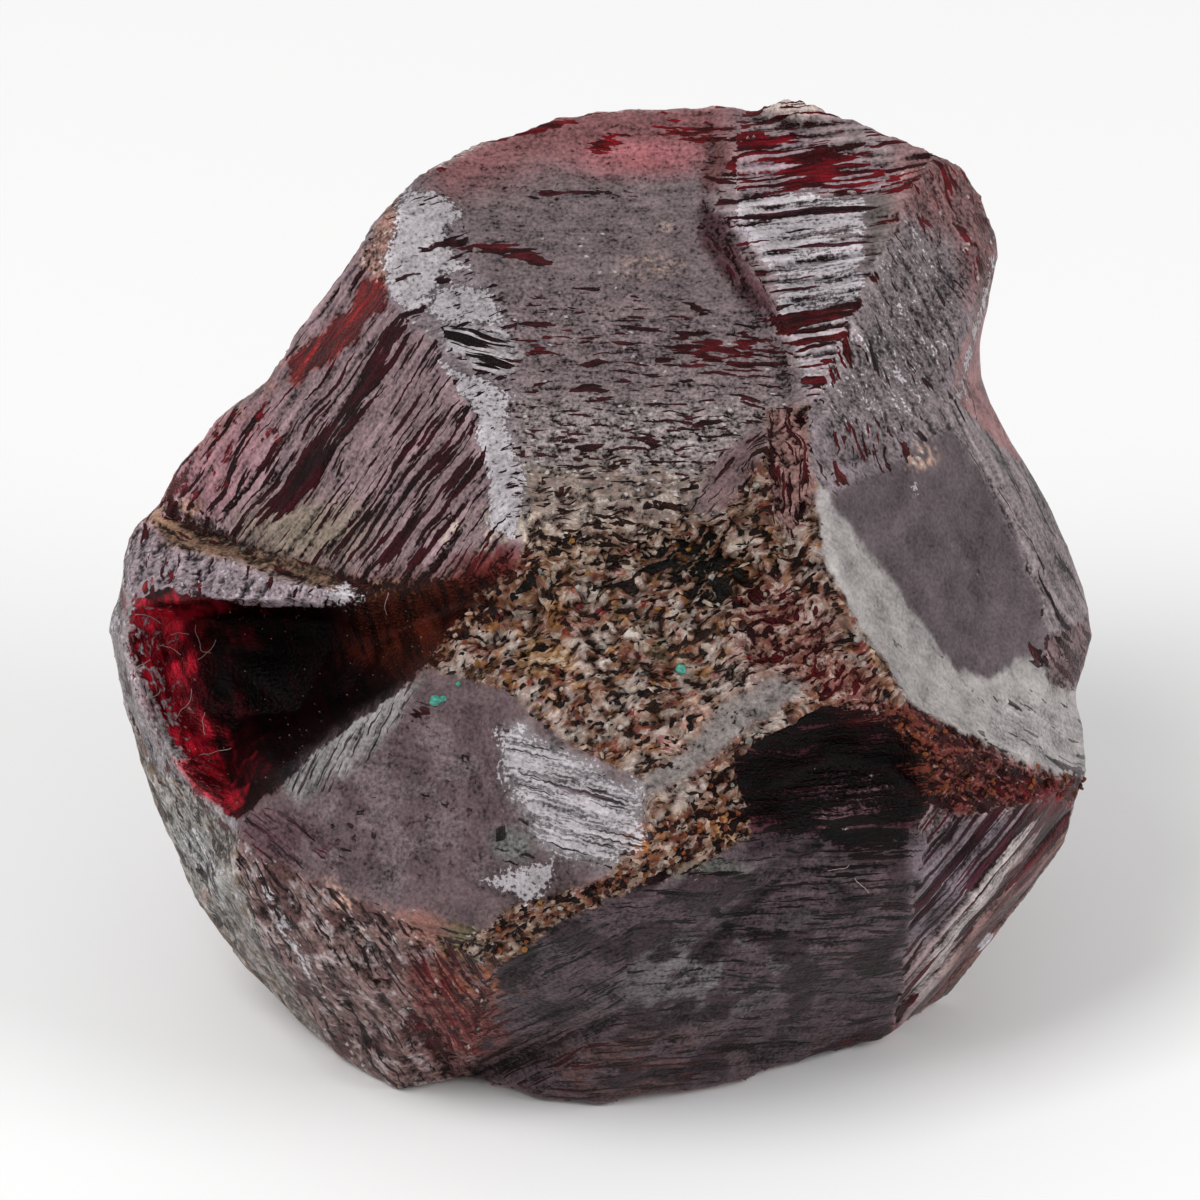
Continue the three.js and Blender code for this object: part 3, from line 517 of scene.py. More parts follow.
        run=-58, streak=(1.2, 0.16), cleft=0.35, skin="#7a6466", deep="#3c1418"),
    # the pit
    "umber ground": dict(within="pit", patchy=0.35, patch=0.7, skin="#4c2a1c"),
    "ochre ground": dict(within="pit", patchy=0.12, patch=0.4, skin="#8a5c2c"),
    "red ground": dict(within="pit", patchy=0.14, patch=0.35, skin="#6a1a18"),
    "ashen ground": dict(within="pit", patchy=0.26, patch=0.5, skin="#a29892"),
    "dark ground": dict(within="pit", patchy=0.16, patch=0.4, skin="#241a12", cleft=0.3),
    "pit head": dict(
        outline=[(-1.8, 2.9), (2.4, 2.5), (2.6, 1.9), (1.4, 1.3), (-0.4, 1.2), (-1.6, 1.4)],
        edge=0.3, ragged=0.5, grain=0.48, skin="#877c76", cleft=0.22, deep="#2c1612", cover=0.74,
        fleck=0.3, streak=(0.5, 0.10), run=5),
    "rust pit": dict(
        oval=(1.8, 0.9, 1.7, 0.55, -8), edge=0.4, ragged=0.3, skin="#55300f", deep="#120d08",
        cleft=0.45),
    # A painted shadow: the deepest hole in the pit, drawn near black.
    "shaded pocket": dict(
        oval=(2.0, 0.2, 1.3, 0.4, -30), edge=0.25, ragged=0.3, skin="#221c12", deep="#0c0a08",
        cleft=0.5),
    "green pocket": dict(
        oval=(1.0, -0.7, 0.9, 0.35, -40), edge=0.25, ragged=0.3, patchy=0.5, skin="#343a28",
        deep="#0a0c08"),
    "grey flakes": dict(oval=(3.2, -1.2, 1.3, 0.45, 35), edge=0.3, ragged=0.3, skin="#968a86"),
    "cream flakes": dict(
        oval=(-0.6, 1.3, 1.6, 0.4, -5), edge=0.3, ragged=0.4, patchy=0.5, patch=0.2,
        skin="#b8aa9c"),
    "pink flakes": dict(
        oval=(1.9, -2.6, 0.8, 0.4, 50), edge=0.3, ragged=0.3, patchy=0.5, patch=0.2,
        skin="#b08e84"),
    "ochre pit": dict(oval=(-1.1, -1.1, 0.5, 0.4, 0), edge=0.2, skin="#86663c"),
    "rust left": dict(
        oval=(-1.0, 0.6, 1.0, 0.4, 25), edge=0.3, skin="#5c3e22", deep="#180d08", cleft=0.35),
    "red pit": dict(
        oval=(3.6, -0.6, 1.0, 0.9, -50), edge=0.4, skin="#6c4440", deep="#3a060a", cleft=0.30,
        grain=0.6),
    "red pit foot": dict(
        oval=(4.7, -1.6, 1.1, 0.5, -40), edge=0.3, skin="#6e403c", deep="#420609", cleft=0.30,
        grain=0.5),
    "tongue": dict(
        outline=[(3.2, 3.5), (3.4, 3.1), (2.9, 2.3), (2.3, 1.7), (1.8, 1.8), (2.3, 2.8)],
        run=50, skin="#6a5556", grain=0.0, chip=0.02, cleft=0.12, cover=0.8, mottle=0.8,
        streak=(0.8, 0.07), combed=0.9, edge=0.2, fleck=0.0),
    "red layers": dict(
        outline=[(3.3, 3.8), (4.1, 3.9), (4.25, 2.0), (3.8, 1.2), (3.4, 1.7), (3.3, 2.6)],
        run=-78, streak=(0.9, 0.12), grain=0.2, skin="#7a5c58", deep="#3a0a0e", cleft=0.34,
        step=0.05),
    "grey ribbon": dict(
        outline=[(0.8, -4.0), (1.8, -3.4), (2.7, -2.7), (3.6, -2.1), (4.1, -1.6), (3.4, -1.5),
                 (2.4, -2.0), (1.8, -2.8), (1.0, -3.4), (0.8, -3.7)],
        skin="#8a817e", grain=0.0, chip=0.02, cleft=0.02, cover=0.95, run=35, mottle=0.4,
        edge=0.15),
    # the lower left face
    "rim ribs": dict(
        outline=[(-6.3, -3.7), (-5.8, -3.0), (-5.0, -2.4), (-4.0, -1.7), (-3.5, -1.5),
                 (-3.9, -2.2), (-4.5, -3.1), (-5.3, -3.7), (-6.0, -4.0)],
        run=62, streak=(1.0, 0.07), skin="#8c8887", deep="#46383c", cleft=0.22, combed=1.0,
        mottle=0.8, edge=0.15, bend=0.04, gape=0.0),
    "fan": dict(
        outline=[(-6.9, -4.1), (-6.3, -4.15), (-5.2, -4.8), (-5.1, -5.2), (-6.4, -5.4),
                 (-7.2, -4.7)],
        run=-35, streak=(1.2, 0.08), skin="#644c51", deep="#3c2026", cleft=0.28, combed=1.0,
        mottle=1.0, edge=0.15, bend=0.04, gape=0.0),
    # The sheen is a painted highlight: pale fibrous streaks where the face catches the light, drawn
    # as pale crust.
    "sheen": dict(
        outline=[(-2.1, -2.5), (-0.9, -2.8), (0.8, -3.7), (0.85, -4.9), (0.3, -5.3), (-1.0, -5.0),
                 (-1.6, -4.2), (-2.0, -3.4)],
        run=-15, streak=(1.8, 0.08), skin="#a8a2a4", deep="#64585c", cleft=0.14, combed=1.0,
        mottle=0.9, crust=0.72, edge=0.28, ragged=0.18, fleck=0.05, bend=0.03, gape=0.0),
    "left fold": dict(
        outline=[(-2.9, -1.9), (-1.9, -2.1), (-1.9, -3.4), (-1.7, -4.6), (-2.4, -5.0),
                 (-2.6, -3.4)],
        edge=0.3, ragged=0.2, skin="#625054", mottle=0.6, run=-80, streak=(0.8, 0.14), combed=0.6),
    "face nicks": dict(
        outline=[(-5.6, -3.6), (-3.4, -2.2), (-2.2, -2.6), (-2.2, -5.4), (-4.4, -6.0),
                 (-6.0, -5.2)],
        edge=0.3, patchy=0.14, patch=0.25, skin="#57474a", mottle=1.0, cleft=0.1, gape=0.0),
    "face bloom": dict(
        outline=[(-5.6, -3.6), (-3.4, -2.2), (-2.2, -2.6), (-2.2, -5.4), (-4.4, -6.0),
                 (-6.0, -5.2)],
        edge=0.3, patchy=0.3, patch=0.9, skin="#766669", mottle=0.6),
    "dark oval": dict(
        oval=(-1.75, -4.85, 0.45, 0.35, -20), edge=0.15, skin="#6c6a69", crust=0.0, mottle=0.8,
        cleft=0.1, deep="#1c1a1a"),
    # The lower sheen is a painted highlight too.
    "lower sheen": dict(
        outline=[(-2.3, -5.5), (-1.5, -5.35), (-0.9, -5.1), (-0.9, -5.6), (-1.5, -5.95),
                 (-1.9, -5.8)],
        run=-20, streak=(0.9, 0.08), crust=0.95, edge=0.14, ragged=0.1),
    "peach rim": dict(
        oval=(-5.0, -6.1, 0.7, 0.25, -50), edge=0.15, patchy=0.5, patch=0.16, fleck=0.5, chip=0.04,
        skin="#c0988a"),
    "peach rim right": dict(
        oval=(-3.6, -6.6, 0.7, 0.2, -35), edge=0.15, patchy=0.5, patch=0.16, fleck=0.4,
        skin="#b08478"),
    "red spot": dict(oval=(-3.55, -2.25, 0.18, 0.12, 0), cleft=1.0, deep="#3c0a10"),
    # the scoop, its ledge and its rim
    # The red haze, the red glow and its hearts are a painted glow: light through the scoop's thin
    # wall, painted into the glass's colour, with a little real clear glass in the red glow's
    # window.
    "red haze": dict(
        outline=[(-9.6, 0.2), (-7.9, 0.2), (-7.4, -0.8), (-7.9, -1.6), (-7.4, -2.6), (-7.3, -4.3),
                 (-8.4, -3.2), (-9.3, -1.6)],
        edge=0.7, ragged=0.9, deep="#500610"),
    "red glow": dict(
        outline=[(-9.5, 0.1), (-8.4, 0.1), (-8.1, -0.5), (-8.5, -1.2), (-8.2, -2.0), (-7.8, -3.0),
                 (-7.5, -4.2), (-8.5, -3.2), (-9.2, -1.6)],
        edge=0.35, ragged=0.8, window=0.2, deep="#b01428"),
    "glow hearts": dict(
        outline=[(-9.4, 0.0), (-8.4, -0.1), (-8.2, -1.2), (-8.6, -1.8), (-9.1, -1.2)],
        edge=0.3, ragged=0.4, patchy=0.4, patch=0.5, deep="#cc1e34"),
    "glow chips": dict(
        outline=[(-9.5, 0.1), (-8.9, 0.0), (-8.5, -1.2), (-8.0, -2.6), (-8.7, -2.8), (-9.3, -1.4)],
        edge=0.2, ragged=0.2, patchy=0.18, patch=0.22, cover=0.4, skin="#94686c", fleck=0.3),
    "pink scratches": dict(
        outline=[(-9.5, 0.1), (-8.4, 0.0), (-8.0, -1.6), (-7.6, -3.6), (-8.6, -3.0), (-9.3, -1.4)],
        ragged=0.3, patchy=0.07, patch=0.10, cover=0.6, skin="#a87c80"),
    "red step": dict(
        outline=[(-8.6, -3.1), (-7.6, -3.2), (-7.4, -3.7), (-7.5, -4.1), (-8.1, -3.9)],
        run=-25, streak=(0.9, 0.14), combed=1.0, cover=0.25, skin="#a0303a", deep="#6c0812",
        step=0.03),
    "amber glow": dict(
        outline=[(-5.0, 0.4), (-2.0, 0.6), (-2.6, -0.6), (-4.0, -1.5), (-5.0, -1.0)],
        edge=0.5, deep="#3e140a", skin="#5a3018", cover=0.04),
    "red head": dict(
        oval=(-2.2, 0.6, 0.7, 0.2, 15), edge=0.15, deep="#40080a", skin="#5c2420", cover=0.4),
    "brown band": dict(
        outline=[(-9.0, 1.7), (-8.5, 1.7), (-7.0, 1.1), (-5.2, 0.6), (-4.0, 0.3), (-5.2, 0.2),
                 (-7.0, 0.7), (-8.8, 1.2)],
        edge=0.12, skin="#745a4a", fleck=0.05, run=-20, streak=(0.8, 0.10), crust=0.0),
    "pale lip": dict(oval=(-5.1, 0.05, 0.4, 0.3, 30), crust=0.95, edge=0.12),
    # The pale rim is a painted highlight along the left rim.
    "pale rim": dict(
        outline=[(-10.1, 1.0), (-9.6, 1.3), (-9.5, -0.6), (-9.9, -0.8)],
        crust=0.62, edge=0.2, cleft=0.2),
    "rim scratches": dict(
        outline=[(-9.8, 0.4), (-9.2, 0.1), (-8.9, -1.2), (-8.3, -2.6), (-8.9, -2.8), (-9.6, -1.2)],
        edge=0.15, patchy=0.22, patch=0.16, cover=0.8, crust=0.5, skin="#b09098"),
    "red rim below": dict(
        oval=(-9.35, -1.6, 0.5, 0.12, -70), edge=0.12, patchy=0.6, cover=0.2, deep="#7a0a14"),
    # the hidden side, and the sides below
    "rosy back": dict(within="back", patchy=0.25, patch=3.0, skin="#80605f", deep="#4a0c12"),
    "ashen back": dict(within="back", patchy=0.2, patch=2.2, skin="#8a8180"),
    "brown back": dict(within="back", patchy=0.15, patch=1.6, skin="#66524a"),
    # Pale patches on the hidden side, drawn as the front's pale skin.
    "pale back patches": dict(within="back", patchy=0.06, patch=1.8, crust=0.6),
    "brown side": dict(within="left side", patchy=0.3, patch=0.35, skin="#6c5a4c"),
    "pale scales": dict(within="scaly side", patchy=0.2, patch=0.35, skin="#a09090"),
    "brown scales": dict(within="scaly side", patchy=0.3, patch=0.5, skin="#5c4240"),
    "rust spot": dict(oval=(-7.9, -5.9, 0.16, 0.12, 0), edge=0.05, skin="#7c3c28"),
    "pale side": dict(oval=(-8.0, -5.2, 1.2, 0.35, -62), edge=0.3, crust=0.42, skin="#a0a09b"),
    "red scales": dict(
        oval=(-2.9, -8.3, 1.2, 0.8, -60), edge=0.5, ragged=0.3, skin="#683432", deep="#5a0a12",
        cleft=0.44, gape=0.3, mottle=1.3, grain=0.35),
    "orange scales": dict(
        oval=(-2.6, -7.4, 0.9, 0.6, -40), edge=0.3, ragged=0.3, patchy=0.4, skin="#7c4a34"),
    "green eye": dict(
        oval=(-2.75, -6.75, 0.5, 0.28, -10), edge=0.2, skin="#74684c", fleck=0.1, cleft=0.2),
    "pink lid": dict(oval=(-3.5, -6.5, 0.5, 0.3, -20), edge=0.2, skin="#9a6c62"),
    "scale rim": dict(oval=(-6.4, -6.2, 1.6, 0.12, -62), crust=0.7, patchy=0.6),
    # the seam, hollow and shelf
    "dark seam": dict(
        within="worn seam", patchy=0.40, patch=0.4, skin="#26140f", cleft=0.4, grain=0.6),
    "pale seam": dict(within="worn seam", patchy=0.15, skin="#8a7466"),
    "dark shelf": dict(within="stained shelf", patchy=0.35, patch=0.35, skin="#341412"),
    "orange patch": dict(
        oval=(0.85, -4.75, 0.35, 0.28, 0), edge=0.15, patchy=0.7, skin="#a8622c", cleft=0.1,
        grain=0.2),
    "orange patch right": dict(oval=(2.45, -4.5, 0.3, 0.3, 0), edge=0.15, skin="#9a6a38"),
    "grey green": dict(oval=(2.2, -5.4, 0.7, 0.22, -10), edge=0.2, skin="#6a7068", grain=0.3),
    "second hollow": dict(
        oval=(5.4, -4.75, 0.75, 0.5, -20), edge=0.15, cleft=0.7, cover=0.35, skin="#3a2226",
        deep="#0c0203"),
    "rust shelf": dict(
        oval=(6.3, -3.1, 0.8, 0.3, -70), edge=0.3, skin="#602c1c", cleft=0.2, deep="#1c0604"),
    "red shelf": dict(oval=(8.9, -3.9, 0.7, 0.22, -10), edge=0.2, deep="#70101a", cleft=0.5),
    # the lower front and the ribs
    "front left": dict(
        outline=[(-2.2, -7.4), (-0.8, -6.4), (0.8, -6.1), (0.4, -8.2), (-1.6, -10.4),
                 (-2.8, -9.7)],
        run=26, edge=0.05),
    # The front sheen is a painted sheen: the lower front is painted paler in its middle.
    "front sheen": dict(oval=(2.2, -7.4, 1.5, 0.7, 10), edge=0.6, skin="#6c6669", cleft=0.08),
    "front upper": dict(oval=(3.4, -6.0, 2.4, 0.6, 5), edge=0.5, skin="#463f42", cleft=0.2),
    "front right": dict(oval=(5.1, -6.6, 0.9, 1.3, 0), edge=0.5, cleft=0.35, deep="#1e090d"),
    "front foot": dict(oval=(5.3, -8.8, 0.8, 0.3, 10), edge=0.2, skin="#6c4440", deep="#4a0c12"),
    "left foot": dict(
        oval=(0.4, -9.4, 2.0, 0.9, 0), edge=0.6, skin="#56403f", deep="#360c10", cleft=0.28),
    "ruddy front": dict(within="lower front face", patchy=0.3, patch=1.4, skin="#54454a"),
    "dark front": dict(within="lower front face", patchy=0.25, patch=1.1, skin="#382c30"),
    "pit one": dict(oval=(2.3, -6.2, 0.12, 0.10, 0), cleft=1.0, edge=0.04),
    "pit two": dict(oval=(3.6, -6.6, 0.10, 0.12, 0), cleft=1.0, edge=0.04),
    "pit three": dict(oval=(2.5, -9.0, 0.20, 0.06, 10), cleft=1.0, edge=0.04),
    "violet ribs": dict(
        outline=[(6.2, -4.9), (7.0, -4.4), (8.6, -4.3), (6.8, -6.6), (6.2, -7.2)],
        edge=0.2, skin="#6c6066", deep="#34101c"),
    "pale rib": dict(
        outline=[(8.3, -4.5), (9.0, -4.3), (6.6, -8.0), (6.2, -7.9)],
        edge=0.15, skin="#a49a98", cleft=0.24),
    "rib edge": dict(
        outline=[(9.1, -4.2), (9.9, -4.2), (8.0, -7.4), (6.6, -8.6), (6.5, -8.1)],
        edge=0.2, skin="#7c5c58", deep="#4a0c14", cleft=0.45),
    "white dot": dict(oval=(4.86, -4.56, 0.05, 0.04, 0), edge=0.03, crust=1.0),
    "hollow specks": dict(
        outline=[(4.0, -4.0), (5.2, -3.2), (5.8, -3.6), (5.4, -4.4), (4.4, -4.6)],
        edge=0.2, fleck=0.12, skin="#5a4048"),
    "edge chip": dict(oval=(7.75, -6.9, 0.2, 0.12, 60), crust=1.0, edge=0.06),
}

# How far an outline strays: over how many mm, by how many mm, and the seeds.
wander = np.zeros((len(points), 2))
for reach, by, seeds in ((1.2, 0.05, (31, 32)), (0.3, 0.035, (33, 34))):
    wander += np.stack([fractal(points / reach, seed) for seed in seeds], 1) * by
strayed = points[:, :2] + wander
OUTSIDE = -1e6  # a depth that no face reaches
seen = facet_normal[:, 2] > FACING_AWAY
face_depth = np.full((len(points), len(FACES)), OUTSIDE)
for index, face in enumerate(FACES.values()):
    if face.get("outline"):
        face_depth[:, index] = depth_inside(face["outline"], strayed)
face_depth[~seen] = OUTSIDE
face_depth[~seen, -1] = 0
face_of = face_depth.argmax(1)
share = np.zeros((len(points), len(FACES)))
share[np.arange(len(points)), face_of] = 1
share = blurred(share, 1)
# The marks fade out where the stone turns away from the front.
turned_to_us = smooth(blurred(facet_normal[:, 2], 6), -0.05, 0.15)
share *= turned_to_us[:, None]
share[:, -1] += 1 - turned_to_us

# Every setting at every point: soft where two faces meet, but hard for the growth lines.
settings = [PLAIN | face for face in FACES.values()]
at_point = {}
for name in PLAIN:
    if name in ("skin", "deep"):
        at_point[name] = share @ np.array([linear(face[name]) for face in settings])
    elif name in ("run", "streak"):
        at_point[name] = np.array([face[name] for face in settings], float)[face_of]
    elif name != "outline":
        at_point[name] = share @ np.array([face[name] for face in settings], float)
for number, mark in enumerate(MARKS.values()):
    if "oval" in mark:
        depth = depth_in_oval(mark["oval"], strayed)
    elif "outline" in mark:
        depth = depth_inside(mark["outline"], strayed)
    else:
        depth = share[:, list(FACES).index(mark["within"])] - 0.5
    if "ragged" in mark:
        depth += mark["ragged"] * fractal(points / 0.6, 200 + number)
    edge = mark.get("edge", 0.10)
    inside = smooth(depth, -edge, edge)
    if "within" not in mark:
        inside *= turned_to_us
    if "patchy" in mark:
        cloud = fractal(points / mark.get("patch", 0.3), 300 + number)
        inside *= smooth(cloud, *np.quantile(cloud, (0.9 - mark["patchy"], 1 - mark["patchy"])))
    for name, value in mark.items():
        if name in ("skin", "deep"):
            at_point[name] += (linear(value) - at_point[name]) * inside[:, None]
        elif name in ("run", "streak"):
            at_point[name][inside > 0.5] = value
        elif name in at_point:
            at_point[name] += (value - at_point[name]) * inside

# Growth lines: how far each point lies along and across the lines of its own face, in mm.
# On the hidden side they wrap round the stone, these two ways.
HIDDEN_ALONG, HIDDEN_ACROSS = (0.8, -0.3, 0.5), (0.35, 0.85, 0.4)


def along_and_across(places, line_run, in_view):
    """How far places lie along and across lines that run in those directions, in radians."""
    along = places[:, 0] * np.cos(line_run) + places[:, 1] * np.sin(line_run)
    across = -places[:, 0] * np.sin(line_run) + places[:, 1] * np.cos(line_run)
    along[~in_view] = (places @ HIDDEN_ALONG)[~in_view]
    across[~in_view] = (places @ HIDDEN_ACROSS)[~in_view]
    return along, across


run = np.radians(at_point["run"])
along, across = along_and_across(points, run, seen)

rounded = blurred(points, 3)
# Its keenest edges, where the facing changes most from point to point, are worn rounder.
keen = 1 - np.linalg.norm(blurred(facet_normal, 4), axis=1)
rounded += (blurred(points, 24) - rounded) * blurred(smooth(keen, 0.3, 0.5), 8)[:, None]
outward = normals_of(rounded)
length, width = at_point["streak"].T
waver = fractal(points / 1.8, 41, 2) * 0.5
NARROWEST_LANE = 0.19  # mm: narrower ones than the mesh can carry are drawn this wide
wide = np.maximum(width * 1.8, NARROWEST_LANE)
lane = np.stack([along / (length * 1.5), across / wide + waver, run * 7.3], 1)
broad_lane = lane * (0.5, 0.4, 1)
streak = 0.6 * noise(lane, 51) + 0.6 * noise(broad_lane, 52)
# Clefts open where this rank, spread evenly from 0 to 1, passes the share left closed.
cleft_field = 0.75 * noise(lane, 53) + 0.55 * noise(broad_lane, 54) + 0.2 * noise(lane * 2, 55)
rank = cleft_field.argsort().argsort() / len(points)
wide_share = (0.5 * at_point["cleft"] + 0.55 * at_point["cleft"]**6) * at_point["gape"]
open_cleft = smooth(rank - 1 + wide_share, -0.08, 0.10)
# Terraces: the growth steps, one lane wide, level between sharp risers.
level = across / (wide * 1.8) + 0.9 * noise(broad_lane, 56)
terrace = np.floor(level) + smooth(level - np.floor(level), 0.72, 1.0) - level
grit = fractal(points / 0.30, 61)
chip = broken(points / 0.75, 71) + 0.45 * broken(points / 0.33, 75)
swell = fractal(points / 3.0, 62, 2) * 0.07 + fractal(points / 0.9, 63, 2) * 0.02
CRUST_HEIGHT = 0.02  # mm that the pale patches stand up
raised = (swell
          + at_point["step"] * (0.7 * streak + 1.2 * terrace)
          - at_point["cleft_depth"] * open_cleft
          + at_point["grit"] * grit
          + at_point["chip"] * chip
          + CRUST_HEIGHT * at_point["crust"] + at_point["lift"])
# Sharp corners of the form keep still, where an outward push would fold the skin.
steady = smooth((outward * facet_normal).sum(1), 0.35, 0.85)
steady *= 0.35 + 0.65 * smooth(outward[:, 2], -0.1, 0.3)
relief = rounded + outward * (raised * steady)[:, None]

# Worn arrises: what stands proud of its surroundings is rubbed down unevenly.
proud = ((relief - blurred(relief, 12)) * outward).sum(1)
relief -= outward * (0.5 * proud.clip(0, None) * (1 + 0.5 * noise(points / 0.4, 64)))[:, None]
# What the front shows edge on is worn smoothest.
edge_on = 1 - smooth(outward[:, 2], 0.0, 0.3)
relief += (blurred(relief, 6) - relief) * (0.85 * edge_on * seen)[:, None]
# Wear and painted shade for the finish: 0 in the hollows, 0.5 on the level and 1 on what
# stands up. The finish paints the hollows darker by it, as painted shade.
final_normal = normals_of(relief)
fine_rise = ((relief - blurred(relief, 2)) * final_normal).sum(1)
broad_rise = ((relief - blurred(relief, 10)) * final_normal).sum(1)
FINE_HEIGHT, BROAD_HEIGHT = 0.012, 0.05  # mm that fine and broad relief usually stands up
at_point["wear"] = (
    0.5 + 0.25 * (fine_rise / FINE_HEIGHT + broad_rise / BROAD_HEIGHT)).clip(0, 1)

# The settings that the finish reads at each point, as single values and as colours.
VALUES = ("cover", "combed", "mottle", "fleck", "crust", "grain", "window", "cleft", "gape",
          "wear")
for name in VALUES:
    layer = skin_mesh.attributes.new(name, "FLOAT", "POINT")
    layer.data.foreach_set("value", at_point[name])
for name in ("skin", "deep"):
    layer = skin_mesh.attributes.new(name, "FLOAT_COLOR", "POINT")
    colours = np.column_stack([at_point[name], np.ones(len(points))])
    layer.data.foreach_set("color", colours.ravel())

# Flat maps of the growth lines, each face in its own direction: along and across in mm, and
# the same in lengths and widths of its own streaks.
at = points[triangles.ravel()]
first = triangles[:, 0].repeat(3)
flat = np.stack(along_and_across(at, run[first], seen[first]), 1)
sway = fractal(points / 1.6, 81) * at_point["bend"]
flat[:, 1] += sway[triangles.ravel()]
skin_mesh.uv_layers.new(name="growth").uv.foreach_set("vector", flat.ravel())
skin_mesh.uv_layers.new(name="streaks").uv.foreach_set(
    "vector", (flat / at_point["streak"][first] + run[first, None] * 5.7).ravel())

skin_mesh.vertices.foreach_set("co", relief.ravel())
skin_mesh.transform(from_front)
settled = points_of(skin_mesh).clip(np.array(low), np.array(high))
skin_mesh.vertices.foreach_set("co", settled.ravel())
skin_mesh.shade_smooth()
skin_mesh.name = "crystal"
crystal = linked("crystal", skin_mesh)


def add(tree, kind, inputs=(), settings=(), out=0):
    """One node with its settings and its inputs, each a value or another node's output."""
    node = tree.nodes.new(kind)
    for key, value in dict(settings).items():
        setattr(node, key, value)
    for key, value in dict(inputs).items():
        if isinstance(value, bpy.types.NodeSocket):
            tree.links.new(value, node.inputs[key])
        else:
            node.inputs[key].default_value = value
    return None if out is None else node.outputs[out]


# Settings that many nodes share.
TIMES = {"operation": "MULTIPLY"}
AT_LEAST = {"operation": "MAXIMUM"}
EASED = {"interpolation_type": "SMOOTHSTEP"}
LAID_OVER = {"data_type": "RGBA", "blend_type": "MIX", "clamp_factor": True}
TINTED = {"data_type": "RGBA", "blend_type": "MULTIPLY", "clamp_factor": True}

# A dull, mottled grey-violet skin, satin where it is rubbed; its grey is partly a painted
# reflection of the lights. It breaks along the growth lines to show dark red glass, which is clear
# only in the windows; its red is painted lighter along the lines, as a painted glow.
garnet = bpy.data.materials.new("worn almandine garnet")
garnet.use_nodes = True
tree = garnet.node_tree
tree.nodes.clear()
place = add(tree, "ShaderNodeTexCoord", out="Object")
lines_at = add(tree, "ShaderNodeUVMap", settings={"uv_map": "growth"})
streaks_at = add(tree, "ShaderNodeUVMap", settings={"uv_map": "streaks"})
laid = {name: add(tree, "ShaderNodeAttribute", settings={"attribute_name": name}, out="Fac")
        for name in VALUES}
skin, deep = (add(tree, "ShaderNodeAttribute", settings={"attribute_name": name}, out="Color")
              for name in ("skin", "deep"))

# Uneven spots all over, 0 to 1 round 0.5: their size in mm and their detail.
SPOTS = {"specks": (0.075, 3), "blotches": (0.6, 3), "clouds": (2.4, 2)}
specks, blotches, clouds = (
    add(tree, "ShaderNodeTexNoise",
        {"Vector": place, "Scale": 1 / (size_mm * MM), "Detail": detail, "Roughness": 0.6})
    for size_mm, detail in SPOTS.values())

# Noise drawn out along the growth lines, 0 to 1 round 0.5: the map it is drawn on, the length
# and width of one feature, in mm or in the face's own streaks, its detail and its roughness.
# The real lines are finer than these: lines too fine to tell apart are drawn coarser.
NOISES = {
    "fine lines": (streaks_at, 0.6, 0.6, 2, 0.6),
    "wide lines": (lines_at, 1.6, 0.17, 3, 0.6),
    "streaks": (streaks_at, 1.0, 1.0, 2, 0.5),
    "broad streaks": (streaks_at, 1 / 0.55, 1 / 0.42, 2, 0.5),
    "rock": (lines_at, 0.32, 0.17, 3, 0.65),
}
noises = {}
for name, (drawn_on, one_long, one_wide, detail, roughness) in NOISES.items():
    sized = add(tree, "ShaderNodeMapping",
                {"Vector": drawn_on, "Scale": (1 / one_long, 1 / one_wide, 1)})
    noises[name] = add(tree, "ShaderNodeTexNoise",
                       {"Vector": sized, "Scale": 1.0, "Detail": detail, "Roughness": roughness},
                       {"noise_dimensions": "2D"})
fine_lines, wide_lines = noises["fine lines"], noises["wide lines"]
rock = add(tree, "ShaderNodeSeparateColor",
           {0: noises["rock"].node.outputs["Color"]}).node.outputs

# Broken pieces, each with a random colour: their length and width in mm, how far they are turned
# from the growth lines, in radians, and how they are measured. The real grains go finer too.
PIECES = {
    "flakes": (0.15, 0.09, 0.0, "EUCLIDEAN"),
    "chips": (0.085, 0.06, 0.9, "EUCLIDEAN"),
    "shards": (0.13, 0.075, 0.5, "MANHATTAN"),
}
pieces = {}
for name, (one_long, one_wide, turned, measure) in PIECES.items():
    sized = add(tree, "ShaderNodeMapping",
                {"Vector": lines_at, "Scale": (1 / one_long, 1 / one_wide, 1),
                 "Rotation": (0, 0, turned)})
    pieces[name] = add(tree, "ShaderNodeTexVoronoi", {"Vector": sized, "Scale": 1.0},
                       {"voronoi_dimensions": "2D", "distance": measure}, "Color")
flake = add(tree, "ShaderNodeSeparateColor", {0: pieces["flakes"]}).node.outputs
chip_tone = pieces["chips"]


def layered(*parts):
    """A total of parts: each a value, or how strongly a pattern counts above its middle of 0.5."""
    total = 0.0
    for part in parts:
        if isinstance(part, tuple):
            strength, value = part
            level = add(tree, "ShaderNodeMath", {0: value, 1: 0.5}, {"operation": "SUBTRACT"})
            total = add(tree, "ShaderNodeMath", {0: level, 1: strength, 2: total},
                        {"operation": "MULTIPLY_ADD"})
        else:
            total = add(tree, "ShaderNodeMath", {0: total, 1: part})
    return total


line_mix = add(tree, "ShaderNodeMix", {0: 0.5, 2: fine_lines, 3: wide_lines})
shattered = layered(0.5, (0.30, chip_tone), (0.30, flake["Blue"]))
spotted = add(tree, "ShaderNodeMix", {0: laid["grain"], 2: specks, 3: shattered})
pattern = add(tree, "ShaderNodeMix", {0: laid["combed"], 2: spotted, 3: line_mix})

